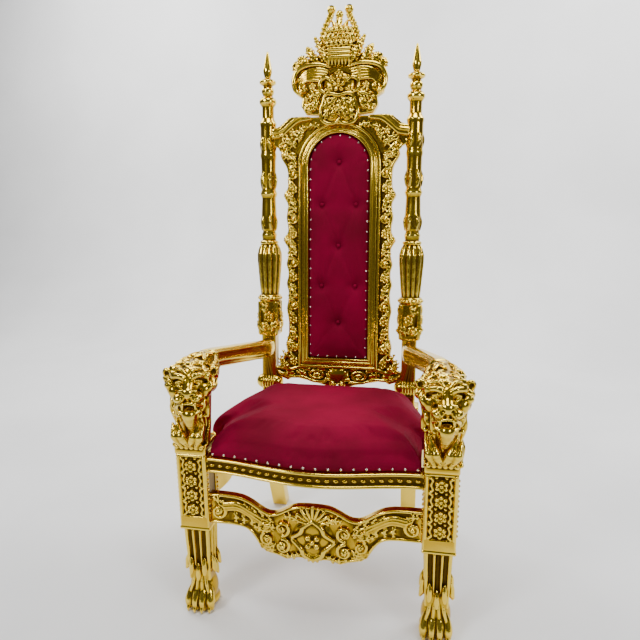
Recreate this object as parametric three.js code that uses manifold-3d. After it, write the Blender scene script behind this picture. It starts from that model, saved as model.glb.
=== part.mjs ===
// A carved and gilded throne with a tall tufted back, lion-head arm supports and a bowed, upholstered seat.
// +Z is up, the throne faces -Y, and the origin is on the floor at the centre of its footprint.
// "Left" is the -X side, as seen from the front. All sizes are in millimetres.
import * as THREE from "three";
import { mergeVertices } from "three/addons/utils/BufferGeometryUtils.js";
import Module from "manifold-3d";

const wasm = await Module();
wasm.setup();
const { Manifold, Mesh: SolidMesh } = wasm;

// ---- Driving dimensions ----
const HEIGHT = 1830; // floor to the top of the crown's finials
const DEPTH = 730; // lion's nose to the heel of the rear legs
const GAP = 0.3; // joint clearance between neighbouring pieces
const FAR = 2500; // reach of the blocks that trim a piece, beyond any part of the throne

const LEG_X = 352; // front leg axis, either side of the middle
const LEG_Y = -255;
const BLOCK = 90; // square block at the top of a front leg
const BLOCK_BOTTOM = 283;
const SEAT_TOP = 507; // top of the seat rails
const LEG_TOP = 516; // top of the front legs, where the lions stand
const RAIL_HEIGHT = 45;
const RAIL_DEPTH = 40;
const RAIL_BOW = 40; // how far the front rail swells forward in the middle
const RAIL_FRONT = -292; // its front face beside the legs

const REAR_X = 258; // rear leg axis
const REAR_LEG = 57;
const REAR_TOP_Y = 205;
const REAR_FOOT_Y = DEPTH / 2 - REAR_LEG / 2;

const POST_X = 248; // back post axis
const POST_Y = 193; // its place in depth at the height where the rake is measured
const PIVOT_Z = 450;
const RAKE = THREE.MathUtils.degToRad(4.24); // backward lean of the whole back
const POST_R = 26.5;
const POST_SQUARE = 50; // square foot of a post, below the arm
const POST_BOTTOM = 511;
const POST_TOP = 1703; // tip of the post's finial
const BACK_TOP = PIVOT_Z + (HEIGHT - PIVOT_Z) / Math.cos(RAKE); // along the raked post

const LION_TURN = { left: -16, right: 3 }; // degrees that each lion's face looks outwards
const ARM_JOINT_Y = -152; // the arm meets the mane on this plane
const CUSHION_SIDE = 301; // half width of the cushion between the lions
const PANEL_HALF = 104; // half width of the upholstered back panel
const PANEL_BOTTOM = 670;
const PANEL_TOP = 1434;
const FRAME_DEPTH = 38;

// ---- Finishes ----
const finish = (name, colour, roughness, metalness) =>
  Object.assign(new THREE.MeshStandardMaterial({ color: colour, roughness, metalness }), { name });
const GILT = finish("gilt", 0xc9a83c, 0.22, 1);
const VELVET = finish("velvet", 0x8a0030, 0.8, 0);
const DUST_CLOTH = finish("dust_cloth", 0x3a2a22, 0.9, 0);

// ---- Solids ----
/** A closed geometry as a solid: vertices merged, collapsed faces dropped, faces turned outwards. */
function toSolid(geometry) {
  const bare = new THREE.BufferGeometry();
  const source = geometry.index ? geometry.toNonIndexed() : geometry;
  bare.setAttribute("position", source.getAttribute("position"));
  const merged = mergeVertices(bare, 1e-3);
  const corners = [];
  const index = merged.index.array;
  for (let i = 0; i < index.length; i += 3) {
    const [a, b, c] = [index[i], index[i + 1], index[i + 2]];
    if (a !== b && b !== c && a !== c) corners.push(a, b, c);
  }
  const vertProperties = new Float32Array(merged.attributes.position.array);
  const build = (triVerts) => new Manifold(new SolidMesh({ numProp: 3, vertProperties, triVerts }));
  const solid = build(Uint32Array.from(corners));
  if (solid.volume() >= 0) return solid;
  const turned = corners.map((_, i) => corners[i - (i % 3) + 2 - (i % 3)]);
  return build(Uint32Array.from(turned));
}

/** A solid as a flat-shaded geometry. */
function toGeometry(solid) {
  const { numProp, vertProperties, triVerts, numVert } = solid.getMesh();
  const points = new Float32Array(numVert * 3);
  for (let i = 0; i < numVert; i++) {
    points.set(vertProperties.subarray(i * numProp, i * numProp + 3), i * 3);
  }
  const indexed = new THREE.BufferGeometry();
  indexed.setAttribute("position", new THREE.BufferAttribute(points, 3));
  indexed.setIndex(new THREE.BufferAttribute(triVerts, 1));
  const flat = indexed.toNonIndexed();
  flat.computeVertexNormals();
  return flat;
}

const join = (geometries) => Manifold.union(geometries.map(toSolid));
const cut = (solid, geometries) => (geometries.length ? solid.subtract(join(geometries)) : solid);

/** A named mesh of a solid. */
function piece(name, solid, material) {
  const mesh = new THREE.Mesh(toGeometry(solid), material);
  mesh.name = name;
  return mesh;
}

// ---- Shapes: every one is a three.js geometry put in its place ----
function box(x0, x1, y0, y1, z0, z1) {
  const middle = [(x0 + x1) / 2, (y0 + y1) / 2, (z0 + z1) / 2];
  return new THREE.BoxGeometry(x1 - x0, y1 - y0, z1 - z0).translate(...middle);
}

/** An ellipsoid of radii (rx, ry, rz), optionally leaned about X and then turned about Z. */
function ball([x, y, z], [rx, ry, rz], { lean = 0, turn = 0, around = 10, rings = 6 } = {}) {
  return new THREE.SphereGeometry(1, around, rings)
    .rotateX(Math.PI / 2)
    .scale(rx, ry, rz)
    .rotateX(lean)
    .rotateZ(turn)
    .translate(x, y, z);
}

/** A small faceted lump of twenty faces, for leaves, locks and petals. */
function lump([x, y, z], [rx, ry, rz], { lean = 0, turn = 0 } = {}) {
  return new THREE.IcosahedronGeometry(1, 0)
    .scale(rx, ry, rz)
    .rotateX(lean)
    .rotateZ(turn)
    .translate(x, y, z);
}

/** A pointed leaf facing -Y: its two ridges cross at the middle, its back is sunk in the ground. */
function leaf([x, y, z], [rx, ry, rz], turn = 0) {
  return new THREE.OctahedronGeometry(1, 0).scale(rx, ry, rz).rotateY(turn).translate(x, y, z);
}

/** A round bar from one point to another, tapering from radius r0 to r1. */
function rod(from, to, r0, r1, sides = 6) {
  const [a, b] = [new THREE.Vector3(...from), new THREE.Vector3(...to)];
  const along = b.clone().sub(a);
  const upright = new THREE.Vector3(0, 1, 0);
  const turn = new THREE.Quaternion().setFromUnitVectors(upright, along.clone().normalize());
  const middle = a.clone().addScaledVector(along, 0.5);
  return new THREE.CylinderGeometry(r1, r0, along.length(), sides)
    .applyQuaternion(turn)
    .translate(...middle.toArray());
}

/** A turned piece from a profile of [radius, height] pairs, about a vertical axis. */
function turned(profile, sides = 14) {
  const points = profile.map(([r, z]) => new THREE.Vector2(r, z));
  return new THREE.LatheGeometry(points, sides).rotateX(Math.PI / 2);
}

/** A board cut to an outline in X and Z, from the plane y = back forwards to y = front. */
function board(outline, back, front, holes = []) {
  const shape = new THREE.Shape(outline.map(([x, z]) => new THREE.Vector2(x, z)));
  shape.holes = holes.map((hole) => new THREE.Path(hole.map(([x, z]) => new THREE.Vector2(x, z))));
  const settings = { depth: back - front, bevelEnabled: false };
  return new THREE.ExtrudeGeometry(shape, settings).rotateX(Math.PI / 2).translate(0, back, 0);
}

/** A board whose front edge is chamfered all round. */
function chamferedBoard(outline, back, front, chamfer) {
  const shape = new THREE.Shape(outline.map(([x, z]) => new THREE.Vector2(x, z)));
  const settings = {
    depth: back - front - 2 * chamfer,
    bevelEnabled: true,
    bevelThickness: chamfer,
    bevelSize: chamfer,
    bevelOffset: -chamfer,
    bevelSegments: 1,
  };
  return new THREE.ExtrudeGeometry(shape, settings).rotateX(Math.PI / 2).translate(0, back - chamfer, 0);
}

/** A bar swept along a curve: a cylinder whose rings are moved onto it, with a section given at each t. */
function swept(curve, halfWidth, halfHeight, steps, sides = 8) {
  const geometry = new THREE.CylinderGeometry(1, 1, 1, sides, steps);
  const position = geometry.getAttribute("position");
  const up = new THREE.Vector3(0, 0, 1);
  for (let i = 0; i < position.count; i++) {
    const t = position.getY(i) + 0.5;
    const centre = curve.getPoint(t);
    const along = curve.getTangent(t);
    const across = new THREE.Vector3().crossVectors(along, up).normalize();
    const rise = new THREE.Vector3().crossVectors(across, along);
    centre.addScaledVector(across, position.getX(i) * halfWidth(t));
    centre.addScaledVector(rise, position.getZ(i) * halfHeight(t));
    position.setXYZ(i, centre.x, centre.y, centre.z);
  }
  return geometry;
}

/** A domed pad: a profile of [share of the outline, height] turned, its circle moved onto the outline. */
function pad(profile, outline) {
  const geometry = turned(profile, outline.length);
  const position = geometry.getAttribute("position");
  for (let i = 0; i < position.count; i++) {
    const [x, y] = [position.getX(i), position.getY(i)];
    const share = Math.hypot(x, y);
    const column = Math.round((Math.atan2(y, x) / (2 * Math.PI)) * outline.length);
    const [px, py] = outline[(column + outline.length) % outline.length];
    position.setXYZ(i, px * share, py * share, position.getZ(i));
  }
  return geometry;
}

const range = (count) => Array.from({ length: count }, (_, i) => i);
const mirrored = (halfOutline) => [...halfOutline, ...halfOutline.map(([x, z]) => [-x, z]).reverse()];
const bump = (value, centre, width) => Math.exp(-(((value - centre) / width) ** 2));
const sides = [
  { name: "left", sign: -1 },
  { name: "right", sign: 1 },
];

/** A piece shaped for the right side, moved to its own side by mirroring. */
const onSide = (geometry, sign) => (sign > 0 ? geometry : geometry.scale(-1, 1, 1));

// ---- Front legs: a paw, a fluted shaft and a block of rosettes ----
const ROSETTES = 4;
const ROSETTE_R = 19;
const ROSETTE_FIRST = 34; // the lowest flower stands this far above the foot of the block
const ROSETTE_PITCH = (0.92 * (LEG_TOP - BLOCK_BOTTOM - 40)) / (ROSETTES - 1);
const TOES = 4;
const TOE_PITCH = 24;

/** A carved flower facing -Y: a low cone of petals with a raised heart. */
function rosette(x, y, z, radius) {
  const petals = rod([x, y + 2, z], [x, y - 5, z], radius, radius * 0.72, 6);
  const heart = rod([x, y - 3, z], [x, y - 10, z], radius * 0.42, radius * 0.2, 4);
  return [petals, heart];
}

/** The tapered shaft under the block, with flutes sunk in its front. */
function legShaft() {
  const [top, bottom] = [BLOCK_BOTTOM + 5, 95];
  const shaft = box(-39, 39, -39, 39, bottom, top);
  const position = shaft.getAttribute("position");
  for (let i = 0; i < position.count; i++) {
    const taper = 0.88 + (0.12 * (position.getZ(i) - bottom)) / (top - bottom);
    position.setXYZ(i, position.getX(i) * taper, position.getY(i) * taper, position.getZ(i));
  }
  const flutes = [-20, 0, 20].map((offset) => {
    const [low, high] = [offset ? 168 : 150, BLOCK_BOTTOM - 8];
    return rod([offset * 0.9, -36, low], [offset, -39, high], 7, 8, 4);
  });
  return cut(toSolid(shaft), flutes);
}

/** A lion's paw with four toes and claws, standing flat on the floor. */
function paw() {
  const foot = [ball([0, -4, 52], [48, 46, 66], { around: 10, rings: 6 })];
  const toes = range(TOES).flatMap((i) => {
    const aside = i - (TOES - 1) / 2;
    const [x, y] = [aside * TOE_PITCH, -40 + Math.abs(aside) * 7];
    return [
      ball([x, y, 26], [14, 22, 30], { around: 6, rings: 4 }),
      rod([x, y - 12, 24], [x, y - 21, 2], 6, 2.5, 3),
    ];
  });
  return join([...foot, ...toes]);
}

function frontLeg({ name, sign }) {
  const block = chamferedBlock(BLOCK, BLOCK_BOTTOM, LEG_TOP);
  const lowest = BLOCK_BOTTOM + ROSETTE_FIRST;
  const flowers = range(ROSETTES).flatMap((i) =>
    rosette(0, -BLOCK / 2 - 1, lowest + i * ROSETTE_PITCH, ROSETTE_R),
  );
  const carved = join([block, ...flowers]).add(legShaft()).add(paw());
  const standing = cut(carved, [box(-FAR, FAR, -FAR, FAR, -FAR, 0)]);
  return overLeg(piece(`front_leg_${name}`, standing, GILT), sign);
}

/** A square upright with its four long edges taken off. */
function chamferedBlock(width, z0, z1) {
  const [half, corner] = [width / 2, 4];
  const outline = [
    [half, -half + corner], [half, half - corner], [half - corner, half], [-half + corner, half],
    [-half, half - corner], [-half, -half + corner], [-half + corner, -half], [half - corner, -half],
  ];
  const shape = new THREE.Shape(outline.map(([x, y]) => new THREE.Vector2(x, y)));
  return new THREE.ExtrudeGeometry(shape, { depth: z1 - z0, bevelEnabled: false }).translate(0, 0, z0);
}

/** A mesh shaped for the right side, mirrored if need be and set over its own front leg. */
function overLeg(mesh, sign) {
  mesh.geometry = toGeometry(toSolid(onSide(mesh.geometry, sign)));
  mesh.position.set(sign * LEG_X, LEG_Y, 0);
  return mesh;
}

// ---- Lion heads: the front supports of the arms ----
const MANE_LOCKS = 6;
const HEAD_Z = 720; // height of the middle of the face

/** The face: brows, eyes, muzzle, nose, jaw and chin, looking along -Y. */
function lionFace() {
  const paired = [-1, 1].flatMap((s) => [
    lump([s * 21, -54, HEAD_Z + 27], [21, 15, 10], { turn: s * 0.3 }), // brow
    leaf([s * 22, -60, HEAD_Z + 11], [10, 9, 8]), // eye
    lump([s * 16, -78, HEAD_Z - 24], [21, 24, 19]), // upper lip
    leaf([s * 58, -18, HEAD_Z + 42], [16, 12, 20], s * 0.5), // ear
  ]);
  return [
    ball([0, -12, HEAD_Z], [60, 58, 66], { around: 8, rings: 6 }),
    lump([0, -68, HEAD_Z - 4], [27, 40, 25]), // bridge of the muzzle
    leaf([0, -98, HEAD_Z - 10], [17, 14, 11]), // nose
    lump([0, -56, HEAD_Z - 80], [28, 34, 17], { lean: 0.25 }), // lower jaw
    rod([0, -60, HEAD_Z - 78], [0, -44, HEAD_Z - 144], 23, 5, 5), // beard
    ...paired,
  ];
}

/** The mane: locks set round the face, and long locks that fall to the collar. */
function mane() {
  const ring = range(MANE_LOCKS).map((i) => {
    const angle = THREE.MathUtils.degToRad(-12 + (204 * i) / (MANE_LOCKS - 1));
    const [x, z] = [60 * Math.cos(angle), 52 * Math.sin(angle)];
    return lump([x, -8, HEAD_Z + z], [24, 30, 25], { turn: -0.4 * Math.cos(angle) });
  });
  const falling = [-1, 1].map((s) => rod([s * 48, -12, HEAD_Z - 16], [s * 35, -26, HEAD_Z - 164], 26, 12, 5));
  const cheeks = [-1, 1].map((s) => lump([s * 50, 1, HEAD_Z + 6], [12, 14, 14]));
  const ending = ARM_JOINT_Y - LEG_Y;
  return [...ring, ...falling, ...cheeks, rod([0, 0, HEAD_Z + 2], [-8, ending + 10, HEAD_Z + 28], 64, 44, 7)];
}

function lionHead({ name, sign }) {
  const neck = [
    rod([0, 4, LEG_TOP], [0, 10, HEAD_Z - 10], 44, 56, 6),
    box(-47, 47, -47, 47, LEG_TOP + GAP, LEG_TOP + 22),
  ];
  const ruff = [-1, 0, 1].map((i) => leaf([i * 27, -38 + Math.abs(i) * 4, LEG_TOP + 46], [20, 20, 34]));
  const mouth = [ball([0, -84, HEAD_Z - 51], [22, 38, 19], { lean: -0.1, around: 6, rings: 4 })];
  const fangs = [-1, 1].map((s) => rod([s * 13, -82, HEAD_Z - 26], [s * 13, -82, HEAD_Z - 56], 6, 1, 4));
  const turn = THREE.MathUtils.degToRad(LION_TURN[name]);
  const face = toSolid(toGeometry(join(lionFace())).rotateZ(turn));
  const opening = mouth.map((hollow) => hollow.rotateZ(turn));
  const teeth = fangs.map((fang) => fang.rotateZ(turn));
  const whole = cut(face.add(join([...mane(), ...neck, ...ruff])), opening).add(join(teeth));
  const trimmed = cut(whole, [
    box(-FAR, FAR, ARM_JOINT_Y - LEG_Y, FAR, -FAR, FAR), // flat face for the arm
    box(-FAR, FAR, -FAR, DEPTH / -2 - LEG_Y, -FAR, FAR), // nose stays inside the depth
    box(-FAR, FAR, -FAR, FAR, -FAR, LEG_TOP + GAP),
    box(-FAR, CUSHION_SIDE + 2 - LEG_X, -FAR, FAR, -FAR, LEG_TOP + 110), // clear of the cushion
  ]);
  return overLeg(piece(`lion_head_${name}`, trimmed, GILT), sign);
}

// ---- Arms ----
/** The line of the right arm, from the lion's mane back and in to its post. */
const armLine = new THREE.CatmullRomCurve3([
  new THREE.Vector3(346, ARM_JOINT_Y - 30, 756),
  new THREE.Vector3(340, ARM_JOINT_Y + 20, 754),
  new THREE.Vector3(316, -40, 738),
  new THREE.Vector3(278, 80, 718),
  new THREE.Vector3(252, 150, 708),
  new THREE.Vector3(POST_X, 230, 703),
]);

function arm({ name, sign }) {
  const width = (t) => 33 - 9 * t;
  const height = (t) => 30 + 2 * t;
  const bar = toSolid(onSide(swept(armLine, width, height, 10, 8), sign));
  const front = box(-FAR, FAR, -FAR, ARM_JOINT_Y + GAP, -FAR, FAR);
  const post = raked(box(-FAR, FAR, -POST_SQUARE / 2 - GAP, FAR, -FAR, FAR));
  return piece(`arm_${name}`, cut(bar, [front, post]), GILT);
}

/** A geometry given upright about the post axis, leaned back with the rake of the back. */
function raked(geometry) {
  return geometry.translate(0, 0, -PIVOT_Z).rotateX(-RAKE).translate(0, POST_Y, PIVOT_Z);
}

// ---- Seat frame ----
/** How far the front rail's face stands forward at x. */
const bowedFace = (x) => RAIL_FRONT - RAIL_BOW * Math.cos((Math.PI * x) / (2 * (LEG_X - BLOCK / 2))) ** 2;

/** A bar that follows the bow of the front rail, from one leg block to the other. */
function bowedBar(forward, depth, z0, z1) {
  const reach = LEG_X - BLOCK / 2 - GAP;
  const steps = range(9).map((i) => -reach + (2 * reach * i) / 8);
  const front = steps.map((x) => new THREE.Vector2(x, bowedFace(x) - forward));
  const back = steps.map((x) => new THREE.Vector2(x, bowedFace(x) - forward + depth)).reverse();
  const settings = { depth: z1 - z0, bevelEnabled: false };
  return new THREE.ExtrudeGeometry(new THREE.Shape([...front, ...back]), settings).translate(0, 0, z0);
}

function frontRail() {
  const bottom = SEAT_TOP - RAIL_HEIGHT;
  return join([
    bowedBar(0, RAIL_DEPTH, bottom, SEAT_TOP),
    bowedBar(5, 12, bottom, bottom + 9), // lower fillet
    bowedBar(5, 12, SEAT_TOP - 9, SEAT_TOP), // upper fillet
  ]);
}

const SIDE_RAIL = 28; // thickness of a side rail
const BRACKET_DROP = 125; // the side rail hangs this much lower beside the front leg
const BRACKET_END = 0.42; // share of the rail's length where the drop ends

/** A side rail: a straight board whose lower edge drops in a carved bracket beside the front leg. */
function sideRail({ name, sign }) {
  const from = new THREE.Vector2(LEG_X, LEG_Y + BLOCK / 2 + GAP);
  const to = new THREE.Vector2(REAR_X + 2, REAR_TOP_Y - REAR_LEG / 2 - GAP);
  const length = to.clone().sub(from).length();
  const bracket = (t) => 1 / (1 + Math.exp((t - BRACKET_END) / 0.04));
  const lower = range(15).map((i) => {
    const t = i / 14;
    return [t * length, SEAT_TOP - RAIL_HEIGHT - 12 - BRACKET_DROP * bracket(t) - 30 * bump(t, 1, 0.12)];
  });
  const outline = [[0, SEAT_TOP], ...lower, [length, SEAT_TOP]];
  const lean = Math.atan2(from.x - to.x, to.y - from.y);
  const half = SIDE_RAIL / 2;
  const plain = board(outline, half, -half).rotateZ(Math.PI / 2 + lean).translate(from.x, from.y, 0);
  const ends = [
    box(-FAR, FAR, -FAR, from.y, -FAR, FAR),
    box(-FAR, FAR, to.y, FAR, -FAR, FAR),
  ];
  const rail = toGeometry(cut(toSolid(plain), ends));
  return piece(`seat_rail_${name}`, toSolid(onSide(rail, sign)), GILT);
}

const REAR_RAIL = 30; // thickness of the rear rail
const REAR_RAIL_BOTTOM = SEAT_TOP - RAIL_HEIGHT - 14;

function rearRail() {
  const reach = REAR_X - REAR_LEG / 2 - GAP;
  const half = REAR_RAIL / 2;
  return toSolid(box(-reach, reach, REAR_TOP_Y - half, REAR_TOP_Y + half, REAR_RAIL_BOTTOM, SEAT_TOP));
}

/** A rear leg: a square post that kicks back below the seat. */
function rearLeg({ name, sign }) {
  const half = REAR_LEG / 2;
  const steps = 5;
  const leg = new THREE.BoxGeometry(REAR_LEG, REAR_LEG, SEAT_TOP, 1, 1, steps).translate(0, 0, SEAT_TOP / 2);
  const position = leg.getAttribute("position");
  const straight = SEAT_TOP - 2 * RAIL_HEIGHT; // the kick starts below the rails
  for (let i = 0; i < position.count; i++) {
    const drop = Math.max(0, (straight - position.getZ(i)) / straight);
    const kick = (REAR_FOOT_Y - REAR_TOP_Y) * drop ** 1.4;
    const taper = 1 - 0.12 * drop * (position.getY(i) < 0 ? 1 : 0);
    position.setXYZ(i, position.getX(i), REAR_TOP_Y + position.getY(i) * taper + kick, position.getZ(i));
  }
  const solid = toSolid(leg.translate(sign * REAR_X, 0, 0));
  const heel = box(-FAR, FAR, REAR_FOOT_Y + half, FAR, -FAR, FAR);
  return piece(`rear_leg_${name}`, cut(solid, [heel]), GILT);
}

// ---- Apron: the carved board between the front legs ----
const APRON_BACK = -262;
const APRON_FRONT = -286;

function apron() {
  const reach = LEG_X - BLOCK / 2 - GAP;
  const upper = (x) => 393 - 48 * bump(Math.abs(x), 122, 60) - 14 * bump(x, 0, 62);
  const lower = (x) => {
    const drop = 1 / (1 + Math.exp((Math.abs(x) - 164) / 15));
    return 292 - 96 * drop + 10 * Math.abs(Math.sin((Math.PI * x) / 78)) * drop;
  };
  const steps = range(27).map((i) => -reach + (2 * reach * i) / 26);
  const outline = [...steps.map((x) => [x, lower(x)]), ...steps.map((x) => [x, upper(x)]).reverse()];
  const ground = board(outline, APRON_BACK, APRON_FRONT);
  const cartouche = ball([0, APRON_FRONT, 270], [52, 17, 60], { around: 8, rings: 4 });
  const scrolls = [-1, 1].flatMap((s) => [
    lump([s * 88, APRON_FRONT, 298], [40, 14, 24]),
    lump([s * 92, APRON_FRONT, 242], [36, 14, 24]),
    swept(leafLine(s), (t) => 11 - 5 * t, () => 10, 5, 5),
    lump([s * 284, APRON_FRONT, 330], [19, 11, 20]),
  ]);
  const centre = rosette(0, APRON_FRONT - 16, 270, 20);
  return join([ground, cartouche, ...scrolls, ...centre]);
}

/** The long leaf that runs over the apron's shoulder. */
function leafLine(sign) {
  return new THREE.CatmullRomCurve3([
    new THREE.Vector3(sign * 262, APRON_FRONT, 372),
    new THREE.Vector3(sign * 215, APRON_FRONT, 358),
    new THREE.Vector3(sign * 170, APRON_FRONT, 325),
    new THREE.Vector3(sign * 125, APRON_FRONT, 300),
  ]);
}

// ---- Seat cushion ----
const CUSHION_MIDDLE_Y = -60;

function cushion() {
  const reach = LEG_X - BLOCK / 2;
  const front = range(11).map((i) => {
    const x = -CUSHION_SIDE + (2 * CUSHION_SIDE * i) / 10;
    return [x, bowedFace((x * reach) / CUSHION_SIDE) + 5];
  });
  const corners = [
    [CUSHION_SIDE, ARM_JOINT_Y + 3],
    [LEG_X - 4, ARM_JOINT_Y + 6],
    [LEG_X - 48, 40],
    [LEG_X - 82, 140],
    [POST_X - 12, 164],
  ];
  const outline = [...front, ...corners, ...corners.map(([x, y]) => [-x, y]).reverse()];
  const centred = outline.map(([x, y]) => [x, y - CUSHION_MIDDLE_Y]);
  const base = SEAT_TOP + GAP;
  const profile = [
    [0, base], [1, base], [1, base + 40], [0.97, base + 64],
    [0.87, base + 86], [0.6, base + 99], [0, base + 105],
  ];
  return toSolid(pad(profile, centred).translate(0, CUSHION_MIDDLE_Y, 0));
}

// ---- Back: posts, frame, crest and upholstered panel, all upright here and leaned back as one ----
const ARM_SEAT_Z = 745; // top of the square foot, where the arm lands

/** A post: a square foot, a carved bracket, a fluted urn, a ringed shaft and a turned finial. */
function backPost({ name, sign }) {
  const tip = PIVOT_Z + (POST_TOP - PIVOT_Z) / Math.cos(RAKE);
  const shaft = [
    [0, 1080], [22, 1080], [27, 1100], [22, 1112], [26.5, 1165], [24, 1226], [29.5, 1240],
    [24, 1256], [25.5, 1354], [28.5, 1368], [26, 1380], [POST_R, 1470], [20, 1490],
    [20, 1528], [29, 1546], [15, 1564], [21, 1579], [14, 1596], [28, 1607], [10, 1620],
    [15, 1645], [7, 1690], [0, tip],
  ];
  const half = POST_SQUARE / 2;
  const foot = box(-half, half, -half, half, POST_BOTTOM, ARM_SEAT_Z);
  const bracket = [
    box(-35, 35, -35, 35, ARM_SEAT_Z, 868),
    lump([0, -34, 812], [26, 16, 46]),
    lump([0, -32, 764], [32, 18, 20]),
    rod([0, 2, 868], [0, 2, 890], 41, 38, 8),
  ];
  const scroll = rod([-24, -10, 574], [24, -10, 574], 27, 27, 8);
  const urn = [flutedUrn(), box(-34, 34, 0, 48, 880, 1060)];
  const whole = join([turned(shaft, 8), foot, ...bracket, scroll, ...urn]);
  const mesh = piece(`back_post_${name}`, whole, GILT);
  mesh.position.x = sign * POST_X;
  return mesh;
}

/** The urn: a turned swelling whose alternate columns are drawn in as flutes. */
function flutedUrn() {
  const profile = [[0, 880], [34, 890], [36, 912], [42, 1020], [38, 1056], [0, 1084]];
  const columns = 16;
  const geometry = turned(profile, columns);
  const position = geometry.getAttribute("position");
  for (let i = 0; i < position.count; i++) {
    const column = Math.round((Math.atan2(position.getY(i), position.getX(i)) / (2 * Math.PI)) * columns);
    const [z, flute] = [position.getZ(i), column % 2 ? 0.86 : 1];
    if (z > 900 && z < 1070) position.setXYZ(i, position.getX(i) * flute, position.getY(i) * flute, z);
  }
  return geometry;
}

/** The arched outline of the panel opening, grown by a margin. */
function archOutline(margin, steps = 8) {
  const half = PANEL_HALF + margin;
  const springing = PANEL_TOP - PANEL_HALF;
  const arc = range(steps + 1).map((i) => {
    const angle = (Math.PI * i) / steps;
    return [half * Math.cos(angle), springing + half * Math.sin(angle)];
  });
  return [...arc, [-half, PANEL_BOTTOM - margin], [half, PANEL_BOTTOM - margin]];
}

// Lobes of the carved border: [height, how far it stands out, its half length].
const BORDER_LOBES = [
  [1366, 24, 30], [1232, 14, 18], [1160, 6, 24], [1082, 16, 18], [1000, 7, 18],
  [930, 7, 18], [840, 7, 26], [712, 10, 26], [640, 32, 32],
];
const BORDER = 178; // half width of the border between its lobes
const lobesAt = (z) => BORDER_LOBES.map(([at, out, length]) => out * bump(z, at, length));
const borderHalf = (z) => lobesAt(z).reduce((sum, out) => sum + out, BORDER);

const CREST_SEAT_Z = 1490; // the crest stands on the frame at this height
const CREST_SEAT = 125; // half width of the seat cut for it
const SHOULDER = [
  [POST_X, 1398], [POST_X, 1458], [206, 1464], [186, 1480],
  [160, 1502], [128, 1516], [112, CREST_SEAT_Z],
];

function frameOutline() {
  const border = range(21).map((i) => {
    const z = 622 + (1384 - 622) * (i / 20);
    return [Math.min(borderHalf(z), POST_X - POST_R - 6), z];
  });
  const lower = [
    [0, 572], [34, 564], [66, 572], [130, 586], [160, 592],
    [182, 580], [204, 588], [POST_X, 598], [POST_X, 636],
  ];
  return mirrored([...lower, ...border, ...SHOULDER]);
}

function backFrame() {
  const [back, front] = [FRAME_DEPTH / 2, -FRAME_DEPTH / 2];
  const plate = board(frameOutline(), back, front + 8, [archOutline(0).reverse()]);
  const moulding = board(archOutline(34), front + 10, front - 4, [archOutline(0).reverse()]);
  const bosses = [-1, 1].flatMap((s) => [
    ...BORDER_LOBES.map(([z, out, length]) =>
      leaf([s * (borderHalf(z) - 19), front + 8, z], [22 + out * 0.3, 15, length * 1.4]),
    ),
    leaf([s * 154, front + 8, 1300], [22, 15, 36]),
    lump([s * 150, front + 8, 1436], [32, 14, 28]),
    lump([s * 92, front + 6, 606], [42, 16, 22]),
    swept(shoulderLine(s), () => 13, () => 12, 5, 6),
  ]);
  const shell = ball([0, front + 6, 606], [42, 18, 34], { around: 8, rings: 5 });
  const carved = join([plate, moulding, shell, ...bosses]);
  const socket = POST_R + 2.4; // clears the ringed shaft
  const beyond = (s, inner, z0, z1) => box(...[s * inner, s * FAR].sort((a, b) => a - b), -FAR, FAR, z0, z1);
  const postSocket = [-1, 1].flatMap((s) => [
    rod([s * POST_X, 0, 1300], [s * POST_X, 0, 1500], socket, socket, 10),
    beyond(s, POST_X - POST_SQUARE / 2 - GAP, -FAR, ARM_SEAT_Z),
    beyond(s, POST_X - 8, -FAR, FAR),
  ]);
  const seat = box(-CREST_SEAT, CREST_SEAT, -FAR, FAR, CREST_SEAT_Z, FAR);
  return cut(carved, [...postSocket, seat]);
}

/** The swan-neck moulding over each shoulder. */
function shoulderLine(sign) {
  const points = [[226, 1438], [196, 1444], [172, 1466], [140, 1492], [108, 1502]];
  const y = -FRAME_DEPTH / 2 + 6;
  return new THREE.CatmullRomCurve3(points.map(([x, z]) => new THREE.Vector3(sign * x, y, z)));
}

// ---- Crest: a winged cartouche under a crown ----
const CREST_FRONT = -FRAME_DEPTH / 2 - 4 - GAP; // it is planted on the face of the frame's moulding

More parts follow.
